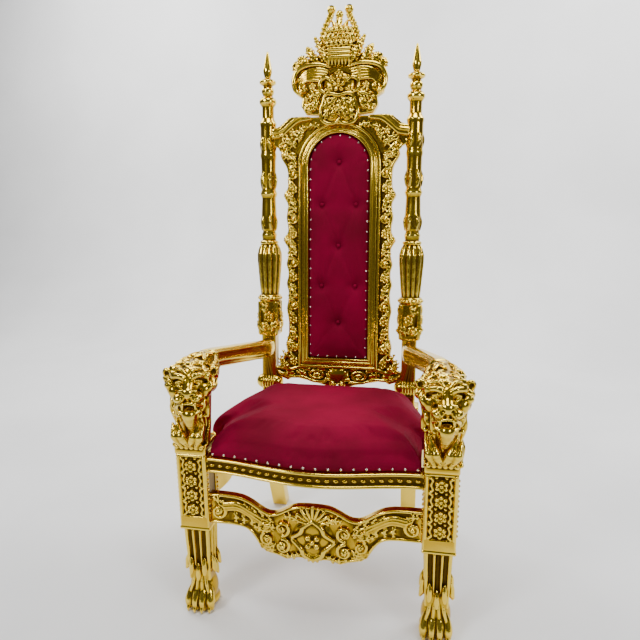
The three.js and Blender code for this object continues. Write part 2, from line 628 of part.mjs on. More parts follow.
function crest() {
  const half = [
    [60, 1474], [66, 1492], [112, 1496], [128, 1522], [124, 1548], [148, 1562],
    [156, 1600], [150, 1640], [130, 1668], [124, 1692], [100, 1712], [74, 1738],
    [56, 1716], [44, 1740], [40, 1784], [30, 1806], [12, 1782],
  ];
  const lobes = [[0, 1472], [30, 1456], [50, 1460]];
  const ground = chamferedBoard(mirrored([...lobes, ...half]), 14, CREST_FRONT - 10, 4);
  const frame = box(-FAR, FAR, CREST_FRONT, FAR, -FAR, CREST_SEAT_Z + GAP);
  const relief = [-1, 1].flatMap((s) => [
    ball([s * 106, CREST_FRONT - 6, 1622], [46, 20, 36], { around: 8, rings: 4 }), // wing
    lump([s * 122, CREST_FRONT - 8, 1578], [28, 18, 20]),
    leaf([s * 96, CREST_FRONT - 6, 1532], [30, 20, 28]),
    lump([s * 30, CREST_FRONT - 10, 1492], [32, 18, 35]), // lobe of the cartouche
    leaf([s * 70, CREST_FRONT - 6, 1700], [20, 18, 46], s * 0.15),
    leaf([s * 100, CREST_FRONT - 6, 1684], [20, 18, 40], s * 0.3),
    rod([s * 30, -12, 1700], [s * 30, -10, BACK_TOP - 18], 17, 7, 5), // arch of the crown
    lump([s * 30, -10, BACK_TOP - 11.5], [12, 12, 12]),
  ]);
  const middle = [
    lump([0, CREST_FRONT - 8, 1590], [32, 22, 36]),
    leaf([0, CREST_FRONT - 6, 1538], [44, 22, 28]),
    box(-36, 36, CREST_FRONT - 18, 14, 1664, 1702), // band of the crown
    box(-40, 40, CREST_FRONT - 23, 10, 1666, 1673),
    box(-40, 40, CREST_FRONT - 23, 10, 1693, 1700),
    rod([0, CREST_FRONT, 1700], [0, CREST_FRONT - 4, 1790], 15, 8, 5),
    lump([0, CREST_FRONT - 4, 1796], [13, 12, 14]),
  ];
  return cut(join([ground, ...relief, ...middle]), [frame]);
}

// ---- Upholstered panel ----
const BUTTON_ROWS = [1342, 1202, 1064, 926, 798];
const BUTTON_OFFSET = 58;
const PANEL_FRONT = -26; // crown of the pad
const PANEL_EDGE = -13; // where the pad meets the moulding
const PAD_BACK = 12; // its flat back
const BUTTON_SINK = 9; // how deep a button is drawn in

/** Centres of the buttons: one and two by turns, down the panel. */
const buttonPlaces = BUTTON_ROWS.flatMap((z, row) =>
  row % 2 ? [[-BUTTON_OFFSET, z], [BUTTON_OFFSET, z]] : [[0, z]],
);

function panelPad() {
  const middle = (PANEL_BOTTOM + PANEL_TOP) / 2;
  const outline = archOutline(-GAP).map(([x, z]) => [x, z - middle]);
  const profile = [
    [0, -PAD_BACK], [1, -PAD_BACK], [1, -PANEL_EDGE],
    [0.93, -PANEL_EDGE + 7], [0.8, -PANEL_FRONT - 2], [0, -PANEL_FRONT],
  ];
  // The pad is turned facing up and then stood on its edge, facing forwards.
  const standing = pad(profile, outline).rotateX(Math.PI / 2).translate(0, 0, middle);
  const floor = PANEL_FRONT + BUTTON_SINK;
  const dimples = buttonPlaces.map(([x, z]) => rod([x, PANEL_FRONT - 2, z], [x, floor, z], 20, 9, 6));
  return cut(toSolid(standing), dimples);
}

function button([x, z], index) {
  const seat = PANEL_FRONT + BUTTON_SINK - GAP;
  const head = rod([x, seat, z], [x, seat - 5, z], 8, 6, 5);
  return piece(`button_${index + 1}`, toSolid(head), VELVET);
}

function rearCover() {
  return toSolid(board(archOutline(18), FRAME_DEPTH / 2 + GAP + 5, FRAME_DEPTH / 2 + GAP));
}

// ---- Assembly ----
const throne = new THREE.Group();
for (const side of sides) {
  throne.add(frontLeg(side), lionHead(side), arm(side), sideRail(side), rearLeg(side));
}
throne.add(
  piece("seat_rail_front", frontRail(), GILT),
  piece("seat_rail_rear", rearRail(), GILT),
  piece("apron_front", apron(), GILT),
  piece("seat_cushion", cushion(), VELVET),
);

const upright = new THREE.Group();
upright.position.z = -PIVOT_Z;
for (const side of sides) upright.add(backPost(side));
upright.add(
  piece("back_frame", backFrame(), GILT),
  piece("crest", crest(), GILT),
  piece("back_pad", panelPad(), VELVET),
  piece("back_cover", rearCover(), DUST_CLOTH),
  ...buttonPlaces.map(button),
);
const back = new THREE.Group();
back.add(upright);
back.rotation.x = -RAKE;
back.position.set(0, POST_Y, PIVOT_Z);
throne.add(back);

export default throne;
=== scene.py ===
"""Looks of a gilded throne with crimson velvet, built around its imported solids.

Carved wood is cut from a fine block of distances, the way a carver works: rounded forms are joined
to it, hollows are cut out of it, and one mesh is drawn over what is left. Lengths in the classes
are millimetres, and meshes are metres. "Left" is the -X side, as seen from the front.
"""

import logging
import math
from dataclasses import dataclass
from enum import Enum
from typing import Callable, Sequence

import bmesh
import bpy
import numpy as np
from mathutils import Matrix, Vector


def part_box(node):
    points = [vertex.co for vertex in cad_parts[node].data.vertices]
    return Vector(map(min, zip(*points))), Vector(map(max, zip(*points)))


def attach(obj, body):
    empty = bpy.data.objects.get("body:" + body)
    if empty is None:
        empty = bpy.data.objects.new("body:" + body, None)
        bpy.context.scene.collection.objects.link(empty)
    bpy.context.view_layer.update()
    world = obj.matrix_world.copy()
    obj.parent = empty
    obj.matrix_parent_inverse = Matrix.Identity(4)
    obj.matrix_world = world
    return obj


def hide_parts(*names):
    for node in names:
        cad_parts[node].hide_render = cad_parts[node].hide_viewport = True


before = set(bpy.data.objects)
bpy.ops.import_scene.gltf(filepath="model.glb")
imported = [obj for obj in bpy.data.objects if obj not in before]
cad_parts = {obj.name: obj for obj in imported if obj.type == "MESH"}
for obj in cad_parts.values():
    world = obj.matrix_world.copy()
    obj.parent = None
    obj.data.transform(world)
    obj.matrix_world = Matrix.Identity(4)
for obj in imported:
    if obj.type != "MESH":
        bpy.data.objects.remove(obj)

Array, Mesh, Material = np.ndarray, bpy.types.Mesh, bpy.types.Material
Size = float | Sequence[float]  # one size, or sizes by axis or spread along a line
Move = Callable[[Array], Array]  # takes points from one place to another
Part = tuple[tuple[slice, ...], tuple[Array, ...]]  # a part of a block, with its cells' places

LOG = logging.getLogger("throne")
MM = 0.001
BODY = "root"
RAKE = math.radians(4.24)  # backward lean of the whole back
PIVOT = np.array([0.0, 193.0, 450.0])  # the back leans about this line across the throne
RAIL_REACH = 307.0  # half the front rail, from the middle to a leg
SEAT_REACH = 301.0  # half the front of the cushion
PANEL = (104.0, 670.0, 1330.0)  # half the width, the bottom and the springing of the back's panel


class Side(Enum):
    """The two sides of the throne, by the sign of X."""

    LEFT = -1
    RIGHT = 1

    @property
    def word(self) -> str:
        """The side's word in a node's name."""
        return self.name.lower()


class Slot(Enum):
    """The material slots, by name."""

    GILT = "gilt"
    VELVET = "velvet"
    DUST_CLOTH = "dust_cloth"


# ---------------------------------------------------------------- lines and places
@dataclass(frozen=True)
class Span:
    """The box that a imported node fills, in millimetres."""

    low: Array
    high: Array

    @classmethod
    def of(cls, node: str) -> "Span":
        """The box of one node."""
        low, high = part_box(node)
        return cls(np.array(low) / MM, np.array(high) / MM)

    @property
    def middle(self) -> Array:
        """The centre of the box."""
        return (self.low + self.high) / 2


def flowing(points: Sequence[Sequence[float]], count: int = 14) -> Array:
    """A smooth line through a few points.

    Args:
        points: the points it passes through, in any number of dimensions.
        count: how many points the line gets.

    Returns:
        The line's points, one to a row.
    """
    given = np.asarray(points, float)
    ends = np.vstack([2 * given[0] - given[1], given, 2 * given[-1] - given[-2]])
    place = np.linspace(0, len(given) - 1, count)
    span = np.minimum(place.astype(int), len(given) - 2)
    t = (place - span)[:, None]
    a, b, c, d = (ends[span + k] for k in range(4))
    return 0.5 * (2 * b + (c - a) * t + (2 * a - 5 * b + 4 * c - d) * t**2 + (3 * b - a - 3 * c + d) * t**3)


def spiral(centre: Sequence[float], radius: float, start: float, turns: float, count: int = 26) -> Array:
    """A line that winds in to a centre.

    Args:
        centre: the middle of the spiral, across and up.
        radius: its outer radius.
        start: the angle where it begins, in degrees.
        turns: how far it winds, anticlockwise if above zero.
        count: how many points it gets.

    Returns:
        The line's points, from the outside in.
    """
    share = np.linspace(0, 1, count)
    angle = math.radians(start) + 2 * math.pi * turns * share
    reach = radius * (1 - 0.8 * share)
    return np.stack([centre[0] + reach * np.cos(angle), centre[1] + reach * np.sin(angle)], 1)


def arch(half: float, bottom: float, springing: float, steps: int = 24) -> Array:
    """The outline of a round-headed panel, across and up, anticlockwise from its lower right corner."""
    angle = np.linspace(0, math.pi, steps)
    head = np.stack([half * np.cos(angle), springing + half * np.sin(angle)], 1)
    return np.vstack([[half, bottom], head, [-half, bottom]])


def lean_back(points: Array) -> Array:
    """Points given upright about the posts' axis, leaned back with the rake."""
    x, y, z = points[:, 0], points[:, 1], points[:, 2] - PIVOT[2]
    cosine, sine = math.cos(RAKE), math.sin(RAKE)
    return np.stack([x, PIVOT[1] + y * cosine + z * sine, PIVOT[2] - y * sine + z * cosine], 1)


@dataclass(frozen=True)
class Face:
    """A flat face that ornament lies on: a point of it, and which ways are right and up on it."""

    origin: tuple[float, float, float] = (0.0, 0.0, 0.0)
    right: tuple[float, float, float] = (1.0, 0.0, 0.0)
    up: tuple[float, float, float] = (0.0, 0.0, 1.0)

    def at(self, points: Array | Sequence) -> Array:
        """Points in space from rows of across, up and, if given, out of the face."""
        rows = np.atleast_2d(np.asarray(points, float))
        out = np.cross(self.right, self.up)
        height = rows[:, 2:3] if rows.shape[1] > 2 else 0.0
        return np.array(self.origin) + rows[:, 0:1] * self.right + rows[:, 1:2] * self.up + height * out


    @classmethod
    def quarter(cls, turn: int, out: float) -> "Face":
        """A side of a square block about the origin: so many quarter turns round, and so far out."""
        angle = turn * math.pi / 2
        return cls((math.sin(angle) * out, -math.cos(angle) * out, 0), (math.cos(angle), math.sin(angle), 0))


def raised(line: Array | Sequence, out: float) -> Array:
    """A line across and up a face, with how far it stands out of the face."""
    return np.column_stack([line, np.full(len(line), out)])


def mirrored(half: Array) -> Array:
    """A closed outline: its right half, and then the mirror image of that."""
    return np.vstack([half, (half * [-1, 1])[::-1]])


def walked(line: Array) -> Array:
    """How far along a line across and up each of its points lies."""
    return np.concatenate([[0], np.cumsum(np.hypot(*np.diff(line[:, :2], axis=0).T))])


# ---------------------------------------------------------------- meshes
def mesh_of(name: str, points: Array, faces: Array) -> Mesh:
    """A smooth-shaded mesh.

    Args:
        name: the mesh's name.
        points: its corners in millimetres, one to a row.
        faces: the corners of each face, all with as many corners.

    Returns:
        The mesh, in metres.
    """
    mesh = bpy.data.meshes.new(name)
    sides = faces.shape[1]
    mesh.vertices.add(len(points))
    set_corners(mesh, points)
    mesh.loops.add(faces.size)
    mesh.loops.foreach_set("vertex_index", faces.astype(np.int32).ravel())
    mesh.polygons.add(len(faces))
    mesh.polygons.foreach_set("loop_start", np.arange(0, faces.size, sides, dtype=np.int32))
    mesh.polygons.foreach_set("use_smooth", np.ones(len(faces), bool))
    mesh.update(calc_edges=True)
    mesh.validate()
    return mesh


def corners_of(mesh: Mesh) -> Array:
    """A mesh's corners, in millimetres."""
    flat = np.empty(len(mesh.vertices) * 3, np.float32)
    mesh.vertices.foreach_get("co", flat)
    return flat.reshape(-1, 3).astype(float) / MM


def set_corners(mesh: Mesh, points: Array) -> None:
    """Moves a mesh's corners to places in millimetres."""
    mesh.vertices.foreach_set("co", (points * MM).astype(np.float32).ravel())


def set_hollows(mesh: Mesh, level: Array) -> None:
    """Stores how sunk each corner lies, as the attribute that the gilding reads for its painted shade and
    highlight.
    """
    mesh.attributes.new("hollow", "FLOAT", "POINT").data.foreach_set("value", level)


def shade_smooth(mesh: Mesh) -> None:
    """Shades all of a mesh as one smooth surface."""
    mesh.polygons.foreach_set("use_smooth", np.ones(len(mesh.polygons), bool))


def put(name: str, content: bpy.types.ID) -> bpy.types.Object:
    """An object that holds a mesh, a lamp or a camera, put in the scene."""
    made = bpy.data.objects.new(name, content)
    bpy.context.scene.collection.objects.link(made)
    return made


def evaluated(body: bpy.types.Object) -> Mesh:
    """A new mesh: the body's own with its modifiers applied."""
    return bpy.data.meshes.new_from_object(body.evaluated_get(bpy.context.evaluated_depsgraph_get()))


def largest_part(points: Array, faces: Array) -> tuple[Array, Array]:
    """The biggest connected part of a mesh, so that no loose crumb is left.

    Args:
        points: the corners.
        faces: the corners of each face.

    Returns:
        The corners and faces of that part.
    """
    label = np.arange(len(points))
    pairs = np.vstack([faces[:, [k, (k + 1) % faces.shape[1]]] for k in range(faces.shape[1])])
    while True:
        low = np.minimum(label[pairs[:, 0]], label[pairs[:, 1]])
        grown = label.copy()
        np.minimum.at(grown, label[pairs[:, 0]], low)
        np.minimum.at(grown, label[pairs[:, 1]], low)
        grown = grown[grown]
        label_next = np.minimum(grown[label], grown)
        if np.array_equal(label_next, label):
            break
        label = label_next
    names, sizes = np.unique(label, return_counts=True)
    kept = label == names[sizes.argmax()]
    number = np.cumsum(kept) - 1
    return points[kept], number[faces[kept[faces[:, 0]]]]


def mark_hollows(mesh: Mesh, rounds: int = 14, depth: float = 1.6) -> None:
    """Marks how sunk each corner lies, for the gilding's painted shade and highlight: 0 where the carving
    stands out, 0.5 on flat wood and 1 deep in a hollow.

    Args:
        mesh: the mesh to mark.
        rounds: how far around a corner its neighbourhood reaches, in rounds of averaging.
        depth: the depth in millimetres that counts as fully sunk.
    """
    count = len(mesh.vertices)
    edges = np.empty(len(mesh.edges) * 2, np.int32)
    mesh.edges.foreach_get("vertices", edges)
    one, two = edges[0::2], edges[1::2]
    degree = np.maximum(np.bincount(edges, minlength=count), 1)
    place = corners_of(mesh)
    around = place.copy()
    for _ in range(rounds):
        total = [
            np.bincount(one, around[two, k], count) + np.bincount(two, around[one, k], count)
            for k in range(3)
        ]
        around = np.stack(total, 1) / degree[:, None]
    normals = np.empty(count * 3, np.float32)
    mesh.vertex_normals.foreach_get("vector", normals)
    sunk = ((around - place) * normals.reshape(-1, 3)).sum(1)
    level = np.clip(0.5 + sunk / (2 * depth), 0, 1).astype(np.float32)
    set_hollows(mesh, level)


@dataclass(frozen=True)
class Surface:
    """A finished carved surface in its own place: corners, faces, and how sunk each corner lies."""

    points: Array
    faces: Array
    hollow: Array

    @classmethod
    def thinned(cls, points: Array, faces: Array, most: int) -> "Surface":
        """A surface with its hollows marked, thinned where it is flat to at most so many triangles."""
        mesh = mesh_of("carving", points, faces)
        mark_hollows(mesh)
        holder = put("carving", mesh)
        thin = holder.modifiers.new("thin", "DECIMATE")
        thin.ratio = min(1.0, most / (2 * len(faces)))
        thin.use_collapse_triangulate = True
        fewer = evaluated(holder)
        fewer.calc_loop_triangles()
        thirds = np.empty(len(fewer.loop_triangles) * 3, np.int32)
        fewer.loop_triangles.foreach_get("vertices", thirds)
        level = np.empty(len(fewer.vertices), np.float32)
        fewer.attributes["hollow"].data.foreach_get("value", level)
        made = cls(corners_of(fewer), thirds.reshape(-1, 3), level)
        bpy.data.objects.remove(holder)
        for spent in (mesh, fewer):
            bpy.data.meshes.remove(spent)
        return made


# ---------------------------------------------------------------- carving
class Carving:
    """A block of small cells that holds the distance to a carved surface, below zero inside the wood."""

    FAR = 60.0

    def __init__(self, low: Sequence[float], high: Sequence[float], cell: float = 2.0,
                 halved: bool = False) -> None:
        """Sets up an empty block.

        Args:
            low: its lowest corner.
            high: its highest corner.
            cell: the size of a cell.
            halved: whether only the half right of x = 0 is carved and the other is its mirror image.
        """
        self.low = np.asarray(low, float)
        if halved:
            self.low[0] = 0.0
        self.cell = cell
        self.halved = halved
        counts = np.ceil((np.asarray(high, float) - self.low) / cell).astype(int) + 1
        self.field = np.full(counts, self.FAR, np.float32)

    def _window(self, low: Array, high: Array) -> Part | None:
        """The part of the block between two corners, and the places of its cells, or None outside it."""
        first = np.maximum(np.floor((low - self.low) / self.cell).astype(int), 0)
        last = np.minimum(np.ceil((high - self.low) / self.cell).astype(int) + 1, self.field.shape)
        if np.any(last <= first):
            return None
        lines = [self.low[k] + self.cell * np.arange(first[k], last[k]) for k in range(3)]
        window = tuple(slice(a, b) for a, b in zip(first, last))
        return window, np.ix_(*[line.astype(np.float32) for line in lines])

    def _apply(self, part: tuple[slice, ...], distance: Array, blend: float, cut: bool) -> None:
        """Joins a form to the block or cuts it out, with a rounded joint as wide as blend."""
        here = self.field[part]
        if cut:
            near = np.clip(1 - np.abs(here + distance) / blend, 0, None)
            self.field[part] = np.maximum(here, -distance) + near * near * blend / 4
        else:
            near = np.clip(1 - np.abs(here - distance) / blend, 0, None)
            self.field[part] = np.minimum(here, distance) - near * near * blend / 4

    def ball(
        self, centre: Sequence[float], radii: Size, blend: float = 2.0, cut: bool = False
    ) -> None:
        """Joins or cuts a ball, or an egg with a radius along each axis."""
        middle, reach = np.asarray(centre, float), np.broadcast_to(np.asarray(radii, float), 3)
        margin = reach + blend + 3 * self.cell
        found = self._window(middle - margin, middle + margin)
        if found is None:
            return
        part, axes = found
        near = np.sqrt(sum(((axes[k] - middle[k]) / reach[k]) ** 2 for k in range(3)))
        steep = np.sqrt(sum(((axes[k] - middle[k]) / reach[k] ** 2) ** 2 for k in range(3)))
        self._apply(part, near * (near - 1) / np.maximum(steep, 1e-4), blend, cut)

    def slab(
        self, low: Sequence[float], high: Sequence[float], edge: float = 3.0, blend: float = 1.0,
        cut: bool = False
    ) -> None:
        """Joins or cuts a box with rounded edges, between two corners."""
        bottom, top = np.asarray(low, float), np.asarray(high, float)
        margin = blend + 3 * self.cell
        found = self._window(bottom - margin, top + margin)
        if found is None:
            return
        part, axes = found
        middle, reach = (bottom + top) / 2, (top - bottom) / 2
        beyond = [np.abs(axes[k] - middle[k]) - reach[k] + edge for k in range(3)]
        outside = np.sqrt(sum(np.maximum(side, 0) ** 2 for side in beyond))
        inside = np.minimum(np.maximum(np.maximum(beyond[0], beyond[1]), beyond[2]), 0)
        self._apply(part, outside + inside - edge, blend, cut)

    def stroke(
        self, path: Array | Sequence, radii: Size, blend: float = 1.6, cut: bool = False
    ) -> None:
        """Joins or cuts a round bar along a line.

        Args:
            path: the line's points in space.
            radii: its radius, or radii spread evenly from end to end.
            blend: the width of its rounded joint.
            cut: whether it is cut out.
        """
        line = np.asarray(path, float)
        given = np.atleast_1d(np.asarray(radii, float))
        reach = np.interp(np.linspace(0, 1, len(line)), np.linspace(0, 1, len(given)), given)
        margin = reach.max() + blend + 3 * self.cell
        found = self._window(line.min(0) - margin, line.max(0) + margin)
        if found is None:
            return
        part, _ = found
        whole = np.full(self.field[part].shape, self.FAR, np.float32)
        for a, b, r0, r1 in zip(line[:-1], line[1:], reach[:-1], reach[1:]):
            side = max(r0, r1) + blend + 2 * self.cell
            near = self._window(np.minimum(a, b) - side, np.maximum(a, b) + side)
            if near is None:
                continue
            inner, axes = near
            along = b - a
            t = sum((axes[k] - a[k]) * along[k] for k in range(3)) / max(along @ along, 1e-6)
            t = np.clip(t, 0, 1)
            away = np.sqrt(sum((axes[k] - a[k] - t * along[k]) ** 2 for k in range(3)))
            box = tuple(slice(i.start - o.start, i.stop - o.start) for i, o in zip(inner, part))
            whole[box] = np.minimum(whole[box], away - (r0 + (r1 - r0) * t))
        self._apply(part, whole, blend, cut)

    def board(
        self, outline: Array, front: float, back: float, edge: float = 3.0, blend: float = 1.0,
        cut: bool = False
    ) -> None:
        """Joins or cuts a board of an outline across and up, between the planes y = front and y = back.

        Args:
            outline: the closed outline's points.
            front: the nearer plane.
            back: the farther plane.
            edge: how far its edges are rounded.
            blend: the width of its rounded joint.
            cut: whether it is cut out.
        """
        shape = np.asarray(outline, float)
        margin = blend + 3 * self.cell
        low = np.array([shape[:, 0].min(), front, shape[:, 1].min()]) - margin
        high = np.array([shape[:, 0].max(), back, shape[:, 1].max()]) + margin
        found = self._window(low, high)
        if found is None:
            return
        part, (x, y, z) = found
        flat = outline_distance(shape, x, z)
        thick = np.abs(y - (front + back) / 2) - (back - front) / 2
        near = np.clip(1 - np.abs(flat - thick) / edge, 0, None)
        self._apply(part, np.maximum(flat, thick) + near * near * edge / 4, blend, cut)

    def turned(self, centre: Sequence[float], profile: Sequence[Sequence[float]], lobes: int = 0,
               sunk: float = 0.0) -> None:
        """Joins a turned form about an upright axis.

        Args:
            centre: the axis, across and in depth.
            profile: its radius at heights from the bottom up, as [radius, height] pairs.
            lobes: how many upright lobes its side is fluted into.
            sunk: how deep the grooves between the lobes are.
        """
        shape = np.asarray(profile, float)
        reach = shape[:, 0].max() + 3 * self.cell
        low = np.array([centre[0] - reach, centre[1] - reach, shape[0, 1]])
        high = np.array([centre[0] + reach, centre[1] + reach, shape[-1, 1]])
        found = self._window(low - 3 * self.cell, high + 3 * self.cell)
        if found is None:
            return
        part, (x, y, z) = found
        radius = np.interp(z, shape[:, 1], shape[:, 0])
        if lobes:
            angle = np.arctan2(y - centre[1], x - centre[0])
            fade = np.clip(np.minimum(z - shape[0, 1], shape[-1, 1] - z) / 14, 0, 1)
            radius = radius - sunk * fade * (1 - np.abs(np.sin(angle * lobes / 2)))
        side = (np.sqrt((x - centre[0]) ** 2 + (y - centre[1]) ** 2) - radius) * 0.85
        self._apply(part, np.maximum(side, np.maximum(shape[0, 1] - z, z - shape[-1, 1])), 1.0, False)

    def trim(self, axis: int, level: float, above: bool) -> None:
        """Cuts everything off above or below a plane across one axis."""
        line = self.low[axis] + self.cell * np.arange(self.field.shape[axis], dtype=np.float32)
        beyond = (line - level) if above else (level - line)
        shape = [1, 1, 1]
        shape[axis] = -1
        self.field = np.maximum(self.field, beyond.reshape(shape).astype(np.float32))

    def surface(self, most: int) -> "Surface":
        """The carved surface, thinned where it is flat.

        Args:
            most: how many triangles it may have.

        Returns:
            The surface, with its hollows marked.
        """
        return Surface.thinned(*self.skin(), most)

    def skin(self) -> tuple[Array, Array]:
        """The whole surface: one corner in each cell that it crosses, joined in fours.

        Returns:
            The corners and the four-sided faces, with no loose crumb.
        """
        field = np.concatenate([self.field[:0:-1], self.field]) if self.halved else self.field
        low = self.low - [self.cell * (self.field.shape[0] - 1) if self.halved else 0, 0, 0]
        field = np.pad(field, 1, constant_values=self.FAR)
        low = low - self.cell
        wood = field < 0
        sides = [n - 1 for n in field.shape]
        inside = np.zeros(sides, np.uint8)
        for corner in np.ndindex(2, 2, 2):
            inside += wood[tuple(slice(c, c + n) for c, n in zip(corner, sides))]
        crossed = (inside > 0) & (inside < 8)
        cells = np.argwhere(crossed)
        number = np.full(sides, -1, np.int64)
        number[crossed] = np.arange(len(cells))
        total, hits = np.zeros((len(cells), 3)), np.zeros(len(cells))
        for axis in range(3):
            step = np.eye(3, dtype=int)[axis]
            for pair in np.ndindex(2, 2):
                start = np.insert(np.array(pair), axis, 0)
                here = field[tuple((cells + start).T)].astype(float)
                there = field[tuple((cells + start + step).T)].astype(float)
                change = (here < 0) != (there < 0)
                share = here[change] / (here[change] - there[change])
                total[change] += start + share[:, None] * step
                hits[change] += 1
        points = (cells + total / hits[:, None]) * self.cell + low
        faces = [self._faces_along(axis, wood, number) for axis in range(3)]
        return largest_part(points, np.vstack(faces))

    @staticmethod
    def _faces_along(axis: int, wood: Array, number: Array) -> Array:
        """The faces that cross the cell edges lying along one axis, turned outwards."""
        u, v = np.eye(3, dtype=int)[(axis + 1) % 3], np.eye(3, dtype=int)[(axis + 2) % 3]
        ahead = np.roll(wood, -1, axis)
        change = wood != ahead
        edge = [slice(None)] * 3
        edge[axis] = slice(-1, None)
        change[tuple(edge)] = False
        at = np.argwhere(change)
        ring = [number[tuple((at + offset).T)] for offset in (-u - v, -v, 0 * u, -u)]
        quads = np.stack(ring, 1)
        inward = ~wood[tuple(at.T)]
        quads[inward] = quads[inward][:, ::-1]
        return quads


def outline_distance(outline: Array, across: Array, up: Array) -> Array:
    """How far places lie from a closed outline, below zero inside it.

    Args:
        outline: the outline's points.
        across: the places' coordinates across.
        up: the places' coordinates up.

    Returns:
        The distances, in the shape that the two coordinates make together.
    """
    shape = np.broadcast(across, up).shape
    nearest, inside = np.full(shape, 1e9, np.float32), np.zeros(shape, bool)
    for a, b in zip(outline, np.roll(outline, -1, 0)):
        run = b - a
        t = np.clip(((across - a[0]) * run[0] + (up - a[1]) * run[1]) / max(run @ run, 1e-9), 0, 1)
        nearest = np.minimum(nearest, (across - a[0] - t * run[0]) ** 2 + (up - a[1] - t * run[1]) ** 2)
        if abs(run[1]) > 1e-9:
            inside ^= ((a[1] > up) != (b[1] > up)) & (across < run[0] * (up - a[1]) / run[1] + a[0])
    return np.where(inside, -1, 1) * np.sqrt(nearest)


class Ornament(Carving):
    """A carving with the ornaments that the throne repeats, each laid on a face."""

    def vine(self, face: Face, points: Sequence, radii: Size, count: int = 14, blend: float = 1.4) -> None:
        """A stem that flows through a few points of a face."""
        self.stroke(face.at(flowing(points, count)), radii, blend)

    def scroll(
        self, face: Face, centre: Sequence[float], radius: float, start: float, turns: float, thick: float,
        out: float = 0.0
    ) -> None:
        """A volute that winds in to a small ball.

        Args:
            face: the face it lies on.
            centre: its middle, across and up.
            radius: its outer radius.
            start: the angle where it begins, in degrees.
            turns: how far it winds, anticlockwise if above zero.
            thick: the radius of its rim.
            out: how far its rim stands out of the face.
        """
        line = spiral(centre, radius, start, turns)
        height = out + np.linspace(0, thick * 0.7, len(line))
        self.stroke(face.at(np.column_stack([line, height])), [thick, thick * 0.62], 0.9)
        self.ball(face.at([[*centre, out + thick]])[0], thick * 1.25, 0.9)

    def rosette(
        self, face: Face, centre: Sequence[float], radius: float, petals: int = 6, out: float = 0.0,
        turn: float = 90.0
    ) -> None:
        """A flower with round petals about a raised heart."""
        for k in range(petals):
            angle = math.radians(turn + 360 * k / petals)
            way = np.array([math.cos(angle), math.sin(angle)])
            near, far = np.array(centre) + way * radius * 0.4, np.array(centre) + way * radius * 0.66
            petal = face.at([[*near, out], [*far, out + radius * 0.1]])
            self.stroke(petal, [radius * 0.24, radius * 0.34], 0.8)
            groove = face.at([[*near, out + radius * 0.42], [*far, out + radius * 0.52]])
            self.stroke(groove, radius * 0.13, 0.8, cut=True)
        self.ball(face.at([[*centre, out + radius * 0.22]])[0], radius * 0.27, 0.8)

    def leaf(
        self,
        face: Face,
        spine: Sequence,
        width: float,
        lobes: int = 4,
        thick: float = 4.0,
        out: float = 0.0,
        lift: float = 4.0,
    ) -> None:
        """An acanthus leaf: a rib along its spine, with pointed lobes that fan out towards its tip.

        Args:
            face: the face it lies on.
            spine: points from its root to its tip, across and up.
            width: how far its widest lobes reach to each side.
            lobes: how many lobes it has on each side.
            thick: the radius of the rib where it is thickest.
            out: how far its middle stands out of the face.
            lift: how much its middle swells outwards.
        """
        line = flowing(spine, 16)
        share = np.linspace(0, 1, len(line))
        height = out + lift * np.sin(math.pi * share)
        rib = [thick * 0.7, thick, thick * 0.8, thick * 0.3]
        self.stroke(face.at(np.column_stack([line, height])), rib, 1.0)
        for k in range(lobes):
            at = int(round((0.1 + 0.74 * k / max(lobes - 1, 1)) * (len(line) - 1)))
            run = line[min(at + 1, len(line) - 1)] - line[max(at - 1, 0)]
            run = run / max(np.hypot(*run), 1e-6)
            aside = np.array([-run[1], run[0]])
            reach = width * math.sin(math.pi * (0.24 + 0.62 * k / max(lobes - 1, 1)))
            for hand in (-1, 1):
                bend = line[at] + hand * aside * reach * 0.55 + run * reach * 0.2
                tip = line[at] + hand * aside * reach * 0.92 + run * reach * 0.75
                lobe = flowing([[*line[at], height[at] * 0.8], [*bend, height[at] + 1], [*tip, out - 1]], 6)
                self.stroke(face.at(lobe), [thick * 0.5, thick * 0.72, thick * 0.28], 0.8)

    def leaves(self, face: Face, *rows: Sequence) -> None:
        """Several leaves on one face, each a row of what a leaf takes after its face."""
        for row in rows:
            self.leaf(face, *row)

    def fan(
        self,
        face: Face,
        centre: Sequence[float],
        inner: float,
        outer: float,
        start: float,
        end: float,
        ribs: int,
        thick: float,
        out: float = 0.0,
    ) -> None:
        """A shell or a spread wing: ribs that radiate from a centre.

        Args:
            face: the face it lies on.
            centre: the point that the ribs radiate from.
            inner: where the ribs begin, from the centre.
            outer: where they end.
            start: the angle of the first rib, in degrees.
            end: the angle of the last.
            ribs: how many there are.
            thick: the radius of a rib at its outer end.
            out: how far the ribs stand out of the face.
        """
        for angle in np.radians(np.linspace(start, end, ribs)):
            way = np.array([math.cos(angle), math.sin(angle)])
            rows = [[*(np.array(centre) + way * reach), out + rise] for reach, rise in
                    ((inner, 2.0), ((inner + outer) / 2, 3.5), (outer, 0.0))]
            self.stroke(face.at(flowing(rows, 6)), [thick * 0.4, thick * 0.85, thick], 0.7)

    def pearls(self, face: Face, points: Sequence, pitch: float, radius: float, out: float = 0.0) -> None:
        """A row of small balls along a line of a face."""
        line = flowing(points, 60)
        along = walked(line)
        for reach in np.arange(pitch / 2, along[-1], pitch):
            place = [np.interp(reach, along, line[:, 0]), np.interp(reach, along, line[:, 1]), out]
            self.ball(face.at([place])[0], radius, 0.6)

    def lock(self, points: Sequence, radius: float, blend: float = 1.0) -> None:
        """A lock of the mane: three strands side by side that run together at the tip."""
        line = flowing(points, 10)
        along = np.gradient(line, axis=0)
        aside = np.cross(along, [0.0, 1.0, 0.15])
        aside /= np.maximum(np.linalg.norm(aside, axis=1, keepdims=True), 1e-6)
        spread = radius * 0.62 * np.linspace(1, 0.1, len(line))[:, None]
        for k in (-1, 0, 1):
            self.stroke(line + aside * spread * k, [radius * 0.52, radius * 0.6, radius * 0.2], blend)


